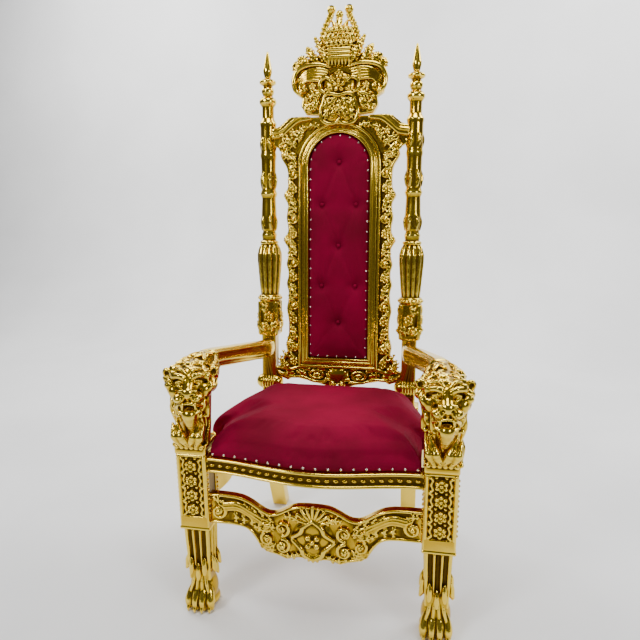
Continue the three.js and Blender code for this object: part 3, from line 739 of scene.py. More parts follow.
# ---------------------------------------------------------------- finishes
class Wire:
    """A value that runs between shader nodes; arithmetic on it adds the nodes that work it out."""

    def __init__(self, shader: "Shader", socket: bpy.types.NodeSocket) -> None:
        """Holds one output socket of a shader."""
        self.shader = shader
        self.socket = socket

    def _math(self, operation: str, *values: "Wire | float") -> "Wire":
        """The result of one math node."""
        return self.shader.node("ShaderNodeMath", {"operation": operation}, dict(enumerate(values)))

    def __add__(self, other: "Wire | float") -> "Wire":
        """The sum."""
        return self._math("ADD", self, other)

    __radd__ = __add__

    def __sub__(self, other: "Wire | float") -> "Wire":
        """The difference."""
        return self._math("SUBTRACT", self, other)

    def __rsub__(self, other: float) -> "Wire":
        """The difference, taken from a number."""
        return self._math("SUBTRACT", other, self)

    def __mul__(self, other: "Wire | float") -> "Wire":
        """The product."""
        return self._math("MULTIPLY", self, other)

    __rmul__ = __mul__

    def within(self, low: float, high: float) -> "Wire":
        """How far the value has gone from low to high, eased and held between 0 and 1."""
        limits = {"Value": self, "From Min": low, "From Max": high}
        return self.shader.node("ShaderNodeMapRange", {"interpolation_type": "SMOOTHSTEP"}, limits, "Result")

    def mix(self, at_zero: "Wire | tuple", at_one: "Wire | tuple") -> "Wire":
        """A colour between two, by this value."""
        return self.shader.node("ShaderNodeMix", {"data_type": "RGBA"}, {0: self, 6: at_zero, 7: at_one}, 2)


class Shader:
    """A material under construction."""

    def __init__(self, name: str) -> None:
        """Starts a material that holds only its output."""
        self.material = bpy.data.materials.new(name)
        self.material.use_nodes = True
        self.tree = self.material.node_tree
        self.tree.nodes.clear()

    def node(self, kind: str, settings: dict | None = None, inputs: dict | None = None,
             output: int | str = 0) -> Wire:
        """Adds a node.

        Args:
            kind: the node's type.
            settings: its own settings, by name.
            inputs: values or wires for its inputs, by name or number.
            output: which of its outputs to give back.

        Returns:
            A wire from that output.
        """
        made = self.tree.nodes.new(kind)
        for name, value in (settings or {}).items():
            setattr(made, name, value)
        for key, value in (inputs or {}).items():
            if isinstance(value, Wire):
                self.tree.links.new(value.socket, made.inputs[key])
            else:
                made.inputs[key].default_value = value
        return Wire(self, made.outputs[output])

    def place(self) -> Wire:
        """The object's own coordinates."""
        return self.node("ShaderNodeTexCoord", output="Object")

    def noise(self, scale: float, detail: float = 3.0) -> Wire:
        """Cloudy noise of a scale, from 0 to 1."""
        given = {"Vector": self.place(), "Scale": scale, "Detail": detail}
        return self.node("ShaderNodeTexNoise", {}, given, 0)

    def bump(self, height: Wire, strength: float, distance: float) -> Wire:
        """A surface normal raised by a height."""
        given = {"Height": height, "Strength": strength, "Distance": distance}
        return self.node("ShaderNodeBump", {}, given, "Normal")

    def finish(self, **inputs: "Wire | float | tuple") -> Material:
        """Ends the material with a Principled surface; an underscore in a name stands for a space."""
        named = {name.replace("_", " "): value for name, value in inputs.items()}
        surface = self.node("ShaderNodeBsdfPrincipled", {}, named, "BSDF")
        self.node_output(surface)
        return self.material

    def node_output(self, surface: Wire) -> None:
        """Links the surface to the material's output."""
        out = self.tree.nodes.new("ShaderNodeOutputMaterial")
        self.tree.links.new(surface.socket, out.inputs["Surface"])


@dataclass(frozen=True)
class Gilt:
    """Bright gilding on carved wood, a little uneven, with a pale painted highlight on the ridges and dark
    olive painted shade in the recesses.
    """

    body: tuple = (0.60, 0.375, 0.020, 1)
    # painted highlight: the pale colour put on the ridges
    ridge: tuple = (0.92, 0.66, 0.075, 1)
    # painted shade: the dark olive colour put in the recesses
    recess: tuple = (0.085, 0.045, 0.003, 1)
    gloss: float = 0.15

    def make(self) -> Material:
        """The material."""
        shader = Shader("gilding")
        hollow = shader.node("ShaderNodeAttribute", {"attribute_name": "hollow"}, output="Fac")
        clouds, grain = shader.noise(9.0), shader.noise(260.0, 2.0)
        # sunk says where painted shade darkens the recesses, raised where a painted highlight lightens the
        # ridges
        sunk = (hollow + (clouds - 0.5) * 0.22).within(0.50, 0.86)
        raised = (0.5 - hollow + (clouds - 0.5) * 0.2).within(0.06, 0.40)
        # the gold with its painted shade and painted highlight mixed in
        tone_with_painted_light = sunk.mix(raised.mix(self.body, self.ridge), self.recess)
        rough = self.gloss + clouds * 0.08 + sunk * 0.24 + (grain - 0.5) * 0.05
        waves = shader.noise(42.0, 2.0)
        normal = shader.bump(waves * 0.8 + grain * 0.2, 0.16, 0.003)
        return shader.finish(Base_Color=tone_with_painted_light, Metallic=1.0, Roughness=rough, Normal=normal)


@dataclass(frozen=True)
class Velvet:
    """Crimson velvet: a deep pile with a magenta sheen, brushed a little unevenly."""

    deep: tuple = (0.135, 0.0004, 0.013, 1)
    brushed: tuple = (0.235, 0.0008, 0.028, 1)
    sheen: tuple = (1.0, 0.06, 0.22, 1)

    def make(self) -> Material:
        """The material."""
        shader = Shader("velvet")
        brushing, pile = shader.noise(5.5, 4.0), shader.noise(900.0, 2.0)
        tone = (brushing + (pile - 0.5) * 0.5).within(0.28, 0.74)
        normal = shader.bump(pile, 0.32, 0.0008)
        return shader.finish(
            Base_Color=tone.mix(self.deep, self.brushed),
            Roughness=0.78 + (brushing - 0.5) * 0.16,
            Sheen_Weight=0.08,
            Sheen_Roughness=0.34,
            Sheen_Tint=self.sheen,
            Specular_IOR_Level=0.10,
            Normal=normal,
        )


@dataclass(frozen=True)
class NailMetal:
    """Pale polished nail heads with faint scratches."""

    bright: tuple = (0.90, 0.80, 0.76, 1)
    dull: tuple = (0.52, 0.42, 0.38, 1)

    def make(self) -> Material:
        """The material."""
        shader = Shader("nail_metal")
        wear = shader.noise(190.0)
        tone = wear.within(0.36, 0.66).mix(self.dull, self.bright)
        return shader.finish(Base_Color=tone, Metallic=1.0, Roughness=0.18 + wear * 0.16)


@dataclass(frozen=True)
class DustCloth:
    """The plain brown weave that closes the back."""

    dark: tuple = (0.020, 0.012, 0.009, 1)
    light: tuple = (0.052, 0.032, 0.024, 1)

    def make(self) -> Material:
        """The material."""
        shader = Shader("dust_cloth")
        weave = [
            shader.node(
                "ShaderNodeTexWave",
                {"wave_type": "BANDS", "bands_direction": way},
                {"Vector": shader.place(), "Scale": 230.0, "Distortion": 0.6},
                1,
            )
            for way in ("X", "Z")
        ]
        threads = weave[0] * 0.5 + weave[1] * 0.5
        tone = (threads * 0.7 + shader.noise(14.0) * 0.3).within(0.2, 0.8)
        normal = shader.bump(threads, 0.4, 0.0006)
        return shader.finish(Base_Color=tone.mix(self.dark, self.light), Roughness=0.9, Normal=normal)


@dataclass(frozen=True)
class PaleFloor:
    """A plain pale floor and backdrop."""

    low: tuple = (0.84, 0.84, 0.84, 1)
    high: tuple = (0.90, 0.90, 0.90, 1)

    def make(self) -> Material:
        """The material."""
        shader = Shader("pale_floor")
        tone = shader.noise(1.4).within(0.3, 0.7).mix(self.low, self.high)
        return shader.finish(Base_Color=tone, Roughness=0.75)


# ---------------------------------------------------------------- pieces
class Piece:
    """A finished piece: its mesh set in the throne, with its finish and the solid that it stands for."""

    def __init__(self, name: str, mesh: Mesh, material: Material, slot: Slot) -> None:
        """Puts the mesh in the scene, riding on the throne's one body."""
        self.made = put(name, mesh)
        mesh.materials.clear()
        mesh.materials.append(material)
        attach(self.made, BODY)
        mesh.calc_loop_triangles()
        LOG.info("%s: %d triangles", name, len(mesh.loop_triangles))

    def stands_for(self, *nodes: str) -> "Piece":
        """Hides the solids that this piece replaces."""
        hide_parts(*nodes)
        return self


def keep_flats(mesh: Mesh, broad: float = 60.0, bend: float = 0.2) -> None:
    """Gives broad flat faces a crisp rim, so that they don't shade as if they were round.

    Args:
        mesh: the mesh, in metres.
        broad: the area from which a face counts as broad, in square millimetres.
        bend: the angle from which an edge of such a face is crisp.
    """
    shape = bmesh.new()
    shape.from_mesh(mesh)
    for face in shape.faces:
        if face.calc_area() > broad * MM * MM:
            for edge in face.edges:
                edge.smooth = edge.smooth and edge.calc_face_angle(0.0) < bend
    shape.to_mesh(mesh)
    shape.free()


def carved_piece(
    name: str,
    surface: Surface,
    gilding: Material,
    move: Move,
    flip: bool = False,
) -> Piece:
    """A gilded piece from a carved surface.

    Args:
        name: the piece's name.
        surface: its carved surface.
        gilding: its finish.
        move: takes its corners from the carving's place to the throne's.
        flip: whether the move mirrors it, so that its faces have to be turned round.

    Returns:
        The piece, standing for the node that it is named after.
    """
    mesh = mesh_of(name, move(surface.points), surface.faces[:, ::-1] if flip else surface.faces)
    set_hollows(mesh, surface.hollow)
    keep_flats(mesh)
    node = name.removesuffix("_carved")
    return Piece(name, mesh, gilding, Slot.GILT).stands_for(node)


def carved_pair(name: str, surface: Surface, gilding: Material, move: Move) -> None:
    """A right-hand carving in its place, and its mirror image on the left.

    Args:
        name: what the two nodes' names start with.
        surface: the right-hand carved surface.
        gilding: its finish.
        move: takes its corners from the carving's place to the throne's right side.
    """
    for side in Side:
        across = [side.value, 1, 1]
        node = f"{name}_{side.word}_carved"
        carved_piece(node, surface, gilding, lambda points: move(points) * across, side is Side.LEFT)


def shaped_piece(name: str, rings: Array, gilding: Material, rounds: int) -> None:
    """A gilded piece drawn through rings of points, standing for the node of its name.

    Args:
        name: the node's name.
        rings: the points, as rings by places round by three.
        gilding: its finish.
        rounds: how far around a corner its hollows are judged, in rounds of averaging.
    """
    mesh = closed_mesh(name, rings)
    mark_hollows(mesh, rounds)
    Piece(f"{name}_shaped", mesh, gilding, Slot.GILT).stands_for(name)


@dataclass
class Studs:
    """Small round heads set along a line by Geometry Nodes, each turned outwards."""

    name: str
    places: Array
    outward: Array
    head: Mesh
    material: Material
    slot: Slot
    unevenness: float = 0.06
    seed: int = 11
    ridged: float = 0.36  # what the heads store as their hollow: a little raised, so that gilt heads get a faint painted highlight

    def _tree(self) -> bpy.types.NodeTree:
        """The node tree that sets a head on every point."""
        tree = bpy.data.node_groups.new(self.name, "GeometryNodeTree")
        for label, kind in (
            ("Places", "NodeSocketGeometry"),
            ("Head", "NodeSocketObject"),
            ("Smallest", "NodeSocketFloat"),
            ("Largest", "NodeSocketFloat"),
            ("Seed", "NodeSocketInt"),
            ("Finish", "NodeSocketMaterial"),
        ):
            tree.interface.new_socket(label, in_out="INPUT", socket_type=kind)
        tree.interface.new_socket("Studs", in_out="OUTPUT", socket_type="NodeSocketGeometry")

        def add(kind: str, settings: dict, links: dict) -> bpy.types.Node:
            """A node of the tree, with its links by input name."""
            made = tree.nodes.new(kind)
            for key, value in settings.items():
                setattr(made, key, value)
            for key, source in links.items():
                target = next(s for s in made.inputs if s.name == key and s.enabled)
                tree.links.new(source, target)
            return made

        given = tree.nodes.new("NodeGroupInput").outputs
        way = add("GeometryNodeInputNamedAttribute", {"data_type": "FLOAT_VECTOR"}, {})
        way.inputs["Name"].default_value = "outward"
        aim = add("FunctionNodeAlignRotationToVector", {"axis": "Z"}, {"Vector": way.outputs["Attribute"]})
        chance = {"Min": given["Smallest"], "Max": given["Largest"], "Seed": given["Seed"]}
        spread = add("FunctionNodeRandomValue", {"data_type": "FLOAT"}, chance)
        size = next(s for s in spread.outputs if s.enabled)
        source = add("GeometryNodeObjectInfo", {}, {"Object": given["Head"]})
        parts = {
            "Points": given["Places"],
            "Instance": source.outputs["Geometry"],
            "Rotation": aim.outputs["Rotation"],
            "Scale": size,
        }
        placed = add("GeometryNodeInstanceOnPoints", {}, parts)
        real = add("GeometryNodeRealizeInstances", {}, {"Geometry": placed.outputs["Instances"]})
        finish = {"Geometry": real.outputs["Geometry"], "Material": given["Finish"]}
        dressed = add("GeometryNodeSetMaterial", {}, finish)
        tree.links.new(dressed.outputs["Geometry"], tree.nodes.new("NodeGroupOutput").inputs["Studs"])
        return tree

    def build(self) -> Piece:
        """The heads, as one plain mesh."""
        points = bpy.data.meshes.new(self.name + "_places")
        points.from_pydata((self.places * MM).tolist(), [], [])
        flat = np.asarray(self.outward, np.float32).ravel()
        points.attributes.new("outward", "FLOAT_VECTOR", "POINT").data.foreach_set("vector", flat)
        holder, head = put(self.name + "_places", points), put(self.name + "_head", self.head)
        tree = self._tree()
        modifier = holder.modifiers.new("studs", "NODES")
        modifier.node_group = tree
        values = {
            "Head": head,
            "Smallest": 1 - self.unevenness,
            "Largest": 1 + self.unevenness,
            "Seed": self.seed,
            "Finish": self.material,
        }
        for item in tree.interface.items_tree:
            if item.in_out == "INPUT" and item.name in values:
                modifier[item.identifier] = values[item.name]
        bpy.context.view_layer.update()
        mesh = evaluated(holder)
        mesh.name = self.name
        holder.modifiers.remove(modifier)
        for made in (holder, head):
            bpy.data.objects.remove(made)
        set_hollows(mesh, np.full(len(mesh.vertices), self.ridged, np.float32))
        return Piece(self.name, mesh, self.material, self.slot)


def dome(name: str, radius: float, height: float, sunk: float = 1.0, around: int = 10,
         stretch: float = 1.0) -> Mesh:
    """A small round head standing on its rim, closed below.

    Args:
        name: the mesh's name.
        radius: its radius in millimetres.
        height: how high it stands.
        sunk: how far its rim reaches below the surface.
        around: how many sides it has.
        stretch: how much longer it is across than up.

    Returns:
        The mesh, with its top along +Z.
    """
    rings = [(radius, -sunk)] + [
        (radius * math.cos(a), height * math.sin(a)) for a in np.radians([0.0, 32.0, 62.0])
    ]
    angles = 2 * math.pi * np.arange(around) / around
    points = [(r * stretch * math.cos(a), r * math.sin(a), z) for r, z in rings for a in angles]
    points += [(0, 0, height), (0, 0, -sunk)]
    top, bottom = len(points) - 2, len(points) - 1
    faces = []
    for ring in range(len(rings) - 1):
        for k in range(around):
            low, nxt = ring * around + k, ring * around + (k + 1) % around
            faces.append((low, nxt, nxt + around, low + around))
    last = (len(rings) - 1) * around
    for k in range(around):
        faces.append((last + k, last + (k + 1) % around, top))
        faces.append(((k + 1) % around, k, bottom))
    mesh = bpy.data.meshes.new(name)
    mesh.from_pydata((np.array(points) * MM).tolist(), [], faces)
    shade_smooth(mesh)
    return mesh


def closed_mesh(name: str, rings: Array) -> Mesh:
    """A smooth mesh through rings of points, closed at both ends and turned outwards."""
    count, around = rings.shape[:2]
    index = np.arange(count * around).reshape(count, around)
    onward = np.roll(index, -1, 1)
    sides = np.stack([index[:-1], onward[:-1], onward[1:], index[1:]], -1).reshape(-1, 4)
    points = np.vstack([rings.reshape(-1, 3), rings[0].mean(0), rings[-1].mean(0)])
    first, last = count * around, count * around + 1
    turn = np.arange(around)
    ends = [[first, (k + 1) % around, k] for k in turn]
    base = (count - 1) * around
    ends += [[last, base + k, base + (k + 1) % around] for k in turn]
    faces = sides.tolist() + ends
    mesh = bpy.data.meshes.new(name)
    mesh.from_pydata((points * MM).tolist(), [], faces)
    mesh.validate()
    mesh.calc_loop_triangles()
    corners = corners_of(mesh)
    thirds = np.array([t.vertices for t in mesh.loop_triangles])
    first_corner, second, third = (corners[thirds[:, k]] for k in range(3))
    if np.einsum("ij,ij->", first_corner, np.cross(second, third)) < 0:  # its volume, six times over
        mesh.flip_normals()
    shade_smooth(mesh)
    mesh.update()
    return mesh


# ---------------------------------------------------------------- upholstery
@dataclass(frozen=True)
class Stuffing:
    """How a padded piece swells: evened out, blown up as cloth, and held to a largest movement."""

    voxel: float = 6.0
    pressure: float = 4.0
    cap: float = 24.0
    last_frame: int = 20

    def swell(self, mesh: Mesh, held: Move) -> Mesh:
        """Evens out a mesh and swells it.

        Args:
            mesh: the starting shape, a little smaller than the finished one.
            held: says which corners stay where they are.

        Returns:
            The finished mesh.
        """
        body = put("stuffing", mesh)
        even = body.modifiers.new("even", "REMESH")
        even.mode = "VOXEL"
        even.voxel_size = self.voxel * MM
        even.use_smooth_shade = True
        body.data = evaluated(body)
        body.modifiers.clear()
        start = corners_of(body.data)
        fixed = held(start)
        group = body.vertex_groups.new(name="held")
        group.add(np.flatnonzero(fixed).tolist(), 1.0, "REPLACE")
        cloth = body.modifiers.new("cloth", "CLOTH")
        cloth.settings.use_pressure = True
        cloth.settings.uniform_pressure_force = self.pressure
        cloth.settings.effector_weights.gravity = 0
        cloth.settings.vertex_group_mass = "held"
        for step in range(1, self.last_frame + 1):
            bpy.context.scene.frame_set(step)
        moved = corners_of(evaluated(body)) - start
        bpy.context.scene.frame_set(1)
        length = np.linalg.norm(moved, axis=1, keepdims=True)
        moved *= np.minimum(1, self.cap / np.maximum(length, 1e-6))
        moved[fixed] = 0
        body.modifiers.clear()
        set_corners(body.data, start + moved)
        finished = body.data
        bpy.data.objects.remove(body)
        shade_smooth(finished)
        finished.update()
        return finished


# ---------------------------------------------------------------- studio
@dataclass(frozen=True)
class Softbox:
    """A soft square light: where it hangs, where it aims, its width in metres and its power in watts."""

    name: str
    place: tuple[float, float, float]
    aim: tuple[float, float, float]
    width: float
    power: float

    def hang(self) -> None:
        """Puts the light in the scene."""
        light = bpy.data.lights.new(self.name, "AREA")
        light.shape, light.size, light.energy = "SQUARE", self.width, self.power
        lamp = put(self.name, light)
        lamp.location = self.place
        lamp.rotation_euler = (Vector(self.aim) - Vector(self.place)).to_track_quat("-Z", "Y").to_euler()


@dataclass(frozen=True)
class Studio:
    """The camera, the lights and a pale floor that curves up into a backdrop."""

    eye: tuple[float, float, float] = (0.282, -1.665, 1.243)
    yaw: float = 10.471
    pitch: float = 12.989
    roll: float = -0.615
    lens: float = 31.2
    softboxes: tuple[Softbox, ...] = (
        Softbox("key", (-2.2, -2.8, 3.0), (0.0, 0.0, 0.9), 0.9, 74.0),
        Softbox("fill", (2.8, -2.2, 2.2), (0.0, 0.0, 0.8), 0.7, 34.0),
        Softbox("top", (0.2, -0.7, 4.0), (0.0, 0.0, 0.6), 1.2, 64.0),
        Softbox("backdrop_left", (-2.4, 1.5, 3.4), (-0.4, 3.6, 1.0), 2.0, 150.0),
        Softbox("backdrop_right", (2.4, 1.5, 3.4), (0.4, 3.6, 1.0), 2.0, 150.0),
    )

    def build(self) -> None:
        """Sets everything up."""
        self._camera()
        for softbox in self.softboxes:
            softbox.hang()
        world = bpy.data.worlds.new("room")
        world.use_nodes = True
        room = world.node_tree.nodes["Background"]
        room.inputs["Color"].default_value = (0.60, 0.61, 0.62, 1)
        room.inputs["Strength"].default_value = 0.17
        bpy.context.scene.world = world
        self._backdrop()

    def _camera(self) -> None:
        """The camera, at the height and turn of an onlooker a little to the right."""
        yaw, pitch, roll = (math.radians(angle) for angle in (self.yaw, self.pitch, self.roll))
        ahead = Vector((-math.sin(yaw) * math.cos(pitch), math.cos(yaw) * math.cos(pitch), -math.sin(pitch)))
        level = Vector((math.cos(yaw), math.sin(yaw), 0))
        upright = level.cross(ahead)
        right = level * math.cos(roll) + upright * math.sin(roll)
        up = upright * math.cos(roll) - level * math.sin(roll)
        data = bpy.data.cameras.new("camera")
        data.lens, data.sensor_width = self.lens, 36.0
        camera = put("camera", data)
        turn = Matrix((right, up, -ahead)).transposed().to_4x4()
        camera.matrix_world = Matrix.Translation(self.eye) @ turn
        bpy.context.scene.camera = camera

    def _backdrop(self) -> None:
        """The floor, swept up at the back."""
        reach, start, bend, top = 6000.0, 2200.0, 1400.0, 5200.0
        turn = np.radians(np.linspace(0, 90, 16))
        line = [[-5000.0, 0.0]]
        line += [[start + bend * math.sin(a), bend * (1 - math.cos(a))] for a in turn]
        line += [[start + bend, top]]
        rows = np.array(line)
        points = np.array([[x, y, z] for y, z in rows for x in (-reach, reach)])
        faces = np.array([[2 * k, 2 * k + 1, 2 * k + 3, 2 * k + 2] for k in range(len(rows) - 1)])
        mesh = mesh_of("floor", points, faces)
        mesh.materials.append(PaleFloor().make())
        floor = put("floor", mesh)


# ---------------------------------------------------------------- front legs and lion heads
@dataclass
class FrontLeg:
    """A paw foot, a fluted shaft and a square block with flowers, carved once and mirrored."""

    gilding: Material
    half: float = 45.0  # half the width of the block
    block_bottom: float = 283.0
    flowers: int = 4
    toes: int = 4
    cell: float = 2.2
    triangles: int = 64000

    def carve(self, top: float) -> Surface:
        """Carves the right leg about its own axis, from the floor to a height."""
        wood = Ornament((-60, -72, -4), (60, 58, top + 4), self.cell)
        self._block(wood, top)
        self._shaft(wood)
        self._paw(wood)
        wood.trim(2, 0.0, above=False)
        return wood.surface(self.triangles)

    def _block(self, wood: Ornament, top: float) -> None:
        """The block: sunk panels, flowers with scrolls between them, and rows of pearls on its sides."""
        half, bottom = self.half, self.block_bottom
        wood.slab((-half, -half, bottom), (half, half, top), 3)
        wood.slab((-half - 2, -half - 2, bottom - 8), (half + 2, half + 2, bottom + 1), 3)
        wood.slab((-32, -half - 9, bottom + 36), (32, -half + 6, top - 8), 4, cut=True)
        front = Face((0, -half + 6, 0))
        pitch = (top - bottom - 50) / self.flowers
        for k in range(self.flowers):
            z = bottom + 38 + pitch * (k + 0.5)
            wood.ball((0, -half + 8, z), (22, 9, 19), 3)
            wood.rosette(front, (0, z), 19, 6, 6)
            for hand in (-1, 1):
                curl = [[hand * 30, z - pitch * 0.46], [hand * 22, z - pitch * 0.3], [hand * 27, z],
                        [hand * 22, z + pitch * 0.3], [hand * 29, z + pitch * 0.46]]
                wood.vine(front, raised(curl, 3), [4.4, 3.4, 4.4], 12)
                wood.ball(front.at([[hand * 13, z + pitch * 0.5, 4]])[0], 4.4, 1)
        for hand in (-1, 1):
            wood.stroke(front.at([[hand * 38, bottom + 38, 6.5], [hand * 38, top - 8, 6.5]]), 3.6)
            inner = Face((hand * half, 0, 0), (0, hand, 0))
            for edge in (-1, 1):
                line = [[edge * 35, bottom + 40], [edge * 35, top - 14]]
                wood.pearls(inner, line, 15, 4.2, 0.5)
            wood.slab((hand * half - 3, -24, bottom + 46), (hand * half + 3, 24, top - 20), 3, 1.5, cut=True)

    def _shaft(self, wood: Ornament) -> None:
        """The shaft: tapered, with round-ended flutes and a curled leaf where they end."""
        top, bottom = self.block_bottom - 4, 96.0
        for z in np.arange(bottom, top, 4):
            half = 33.5 + 5.5 * (z - bottom) / (top - bottom)
            wood.slab((-half, -half, z), (half, half, z + 8), 3.5, 0.5)
        for way in (0, 1, 2, 3):
            face = Face.quarter(way, 39)
            for k, low in ((-1, 168.0), (0, 148.0), (1, 168.0)):
                flute = [[k * 22, top - 12, -1.0], [k * 19.5, low, -4.5]]
                wood.stroke(face.at(flowing(flute, 8)), 6.6, 1.2, cut=True)
                if way != 2:
                    rim = [[k * 21, low + 6, -1], [k * 20, low - 12, 2.5], [k * 20, low - 30, 3],
                           [k * 21, low - 42, 7]]
                    wood.vine(face, rim, [3, 7, 8, 4.5], 12, 2)
            for k in (-0.5, 0.5):
                wood.stroke(face.at([[k * 22, top - 10, 0.0], [k * 20, 150, -4.6]]), 2.6, 0.8)

    def _paw(self, wood: Ornament) -> None:
        """The paw: a broad instep with tendons, four toes and their claws."""
        wood.ball((0, -2, 56), (43, 42, 62), 6)
        wood.ball((0, 2, 16), (46, 42, 24), 8)
        for k in range(self.toes):
            aside = k - (self.toes - 1) / 2
            x, y = aside * 22.5, -40 + abs(aside) * 6
            toe = [[x * 0.62, -24, 74], [x * 0.86, y - 2, 56], [x, y - 13, 34], [x, y - 12, 14]]
            wood.stroke(flowing(toe, 10), [11, 13, 13.5, 11], 2)
            wood.ball((x, y - 12, 38), (12.5, 12, 10), 2)
            wood.stroke(flowing([[x, y - 20, 22], [x, y - 27, 12], [x, y - 25, 1]], 7), [6, 4.6, 1.6], 0.8)
            wood.stroke(flowing([[x * 0.5, -30, 112], [x * 0.62, -36, 88], [x * 0.8, -42, 66]], 7),
                        [4, 5.5, 4], 2.5)
        for k in range(self.toes - 1):
            x = (k - (self.toes - 2) / 2) * 22.5
            wood.stroke(flowing([[x * 0.7, -46, 72], [x, -58, 40], [x, -56, 4]], 8), [2, 3.6, 3.6], 1.2,
                        cut=True)

    def build(self) -> None:
        """Both legs."""
        span = Span.of("front_leg_right")
        centre = (span.middle[0], span.high[1] - self.half, 0.0)
        surface = self.carve(span.high[2])
        carved_pair("front_leg", surface, self.gilding, lambda points: points + np.asarray(centre))


@dataclass
class LionHead:
    """The open-mouthed lion's head with its mane, ruff and collar, carved once for each side.

    The two differ only in how far the face turns outwards.
    """

    gilding: Material
    face_height: float = 211.0  # the middle of the face above the collar's foot
    outward: tuple = ((Side.LEFT, -16.0), (Side.RIGHT, 3.0))  # how far each lion looks outwards, in degrees
    turn: float = 0.0  # the turn of the head being carved
    back: float = 103.3  # the flat face where the arm joins
    cell: float = 2.0
    triangles: int = 92000

    def carve(self) -> Surface:
        """Carves the right head about its leg's axis."""
        wood = Ornament((-90, -120, -4), (90, 112, 300), self.cell)
        self._neck(wood)
        self._mane(wood)
        self._head(wood)
        self._mouth(wood)
        self._eyes(wood)
        wood.trim(1, self.back, above=True)
        wood.trim(2, 0.3, above=False)
        wood.slab((-140, -200, -20), (-49, 200, 110), 1, cut=True)
        return wood.surface(self.triangles)

    def _aim(self, points: Sequence) -> Array:
        """Points of the head, turned outwards with it."""
        rows = np.atleast_2d(np.asarray(points, float))
        cosine, sine = math.cos(math.radians(self.turn)), math.sin(math.radians(self.turn))
        x, y, z = rows.T
        return np.stack([x * cosine - y * sine, x * sine + y * cosine, z], 1)

    def _bar(self, wood: Ornament, points: Sequence, radii: float | Sequence, blend: float = 1.6,
             cut: bool = False) -> None:
        """A smooth bar of the head."""
        wood.stroke(self._aim(flowing(points, 9)), radii, blend, cut)

    def _lump(self, wood: Ornament, centre: Sequence, radii: float | Sequence, blend: float = 3,
              cut: bool = False) -> None:
        """An egg-shaped part of the head."""
        wood.ball(self._aim([centre])[0], radii, blend, cut)

    def _neck(self, wood: Ornament) -> None:
        """The collar with its pellets, the neck and the ruff of broad leaves."""
        wood.slab((-47, -47, 0), (47, 47, 27), 4)
        wood.stroke([[0, 4, 16], [0, 8, 110], [0, 10, 190]], [40, 47, 52], 4)
        for turn in range(4):
            face = Face.quarter(turn, 43)
            wood.pearls(face, [[-44, 25], [44, 25]], 14.6, 7.4, 5)
        for hand in (-1, 1):
            for spread, reach, high in ((4, 34, 104), (24, 47, 92)):
                spine = [[hand * spread, -47, 34], [hand * (spread + reach) / 2, -53, 60],
                         [hand * reach, -42, high]]
                wood.stroke(flowing(spine, 9), [10, 15, 4], 1.2)
                wood.stroke(flowing(np.array(spine) + [0, -9, 2], 9), [1.5, 2.4, 1], 0.8, cut=True)
            wood.stroke(flowing([[hand * 46, -20, 32], [hand * 49, -6, 62], [hand * 44, 10, 96]], 9),
                        [8, 11, 3], 1.2)
            for k in range(3):
                x, sway = hand * (26 + 11 * k), 1 if k % 2 else -1
                fall = [[x * 0.98, -38 + 9 * k, 176], [x * (1.06 + 0.1 * sway), -43 + 10 * k, 152],
                        [x * (0.96 - 0.12 * sway), -43 + 9 * k, 126],
                        [x * (1.0 + 0.08 * sway), -38 + 8 * k, 98 - 7 * k]]
                wood.lock(fall, 12)
                for at in flowing(fall, 5)[1:4]:
                    wood.ball(at + [hand * 4 * sway, -3, 0], 7, 2)

    def _mane(self, wood: Ornament) -> None:
        """Rows of locks round the face, and long ones that flow back over the arm."""
        middle = self.face_height
        wood.stroke([[0, 0, middle - 4], [-2, 50, middle + 6], [-6, self.back + 8, middle + 20]],
                    [54, 47, 40], 4)
        rows = ((11, 50, 62, -46, -30, 10.5), (12, 54, 68, -24, -2, 12.0), (10, 54, 66, 6, 32, 12.5))
        for row, (count, inner, outer, front, rear, thick) in enumerate(rows):
            for k in range(count):
                angle = math.radians(-34 + 248 * (k + 0.5 * (row % 2)) / (count - 0.5))
                way = np.array([math.cos(angle), 0, math.sin(angle) * 0.74])
                swirl = np.array([-math.sin(angle), 0, math.cos(angle)]) * (1 if k % 2 else -1)
                centre = np.array([0, 0, middle + 0.1 * max(front, 0)])
                points = [
                    centre + way * inner + [0, front, 0],
                    centre + way * (inner * 0.4 + outer * 0.6) + swirl * 9 + [0, front - 4, 0],
                    centre + way * outer + swirl * 2 + [0, (front + rear) / 2, 0],
                    centre + way * (outer - 3) - swirl * 9 + [0, rear, 0],
                ]
                points = np.array(points) if row else self._aim(points)
                wood.lock(points, thick)
                wood.ball(points[1], thick * 0.72, 2)
        for k in range(9):
            angle = math.radians(-25 + 230 * k / 8)
            way = np.array([math.cos(angle), 0, math.sin(angle) * 0.82])
            sway = np.array([-math.sin(angle), 0, math.cos(angle)]) * 8 * (-1) ** k
            points = [
                [0, 34, middle + 6] + way * 54,
                [-1, 58, middle + 11] + way * 50 + sway,
                [-3, 82, middle + 16] + way * 45,
                [-5, 101, middle + 20] + way * 39 - sway,
            ]
            wood.lock(points, 12.5)

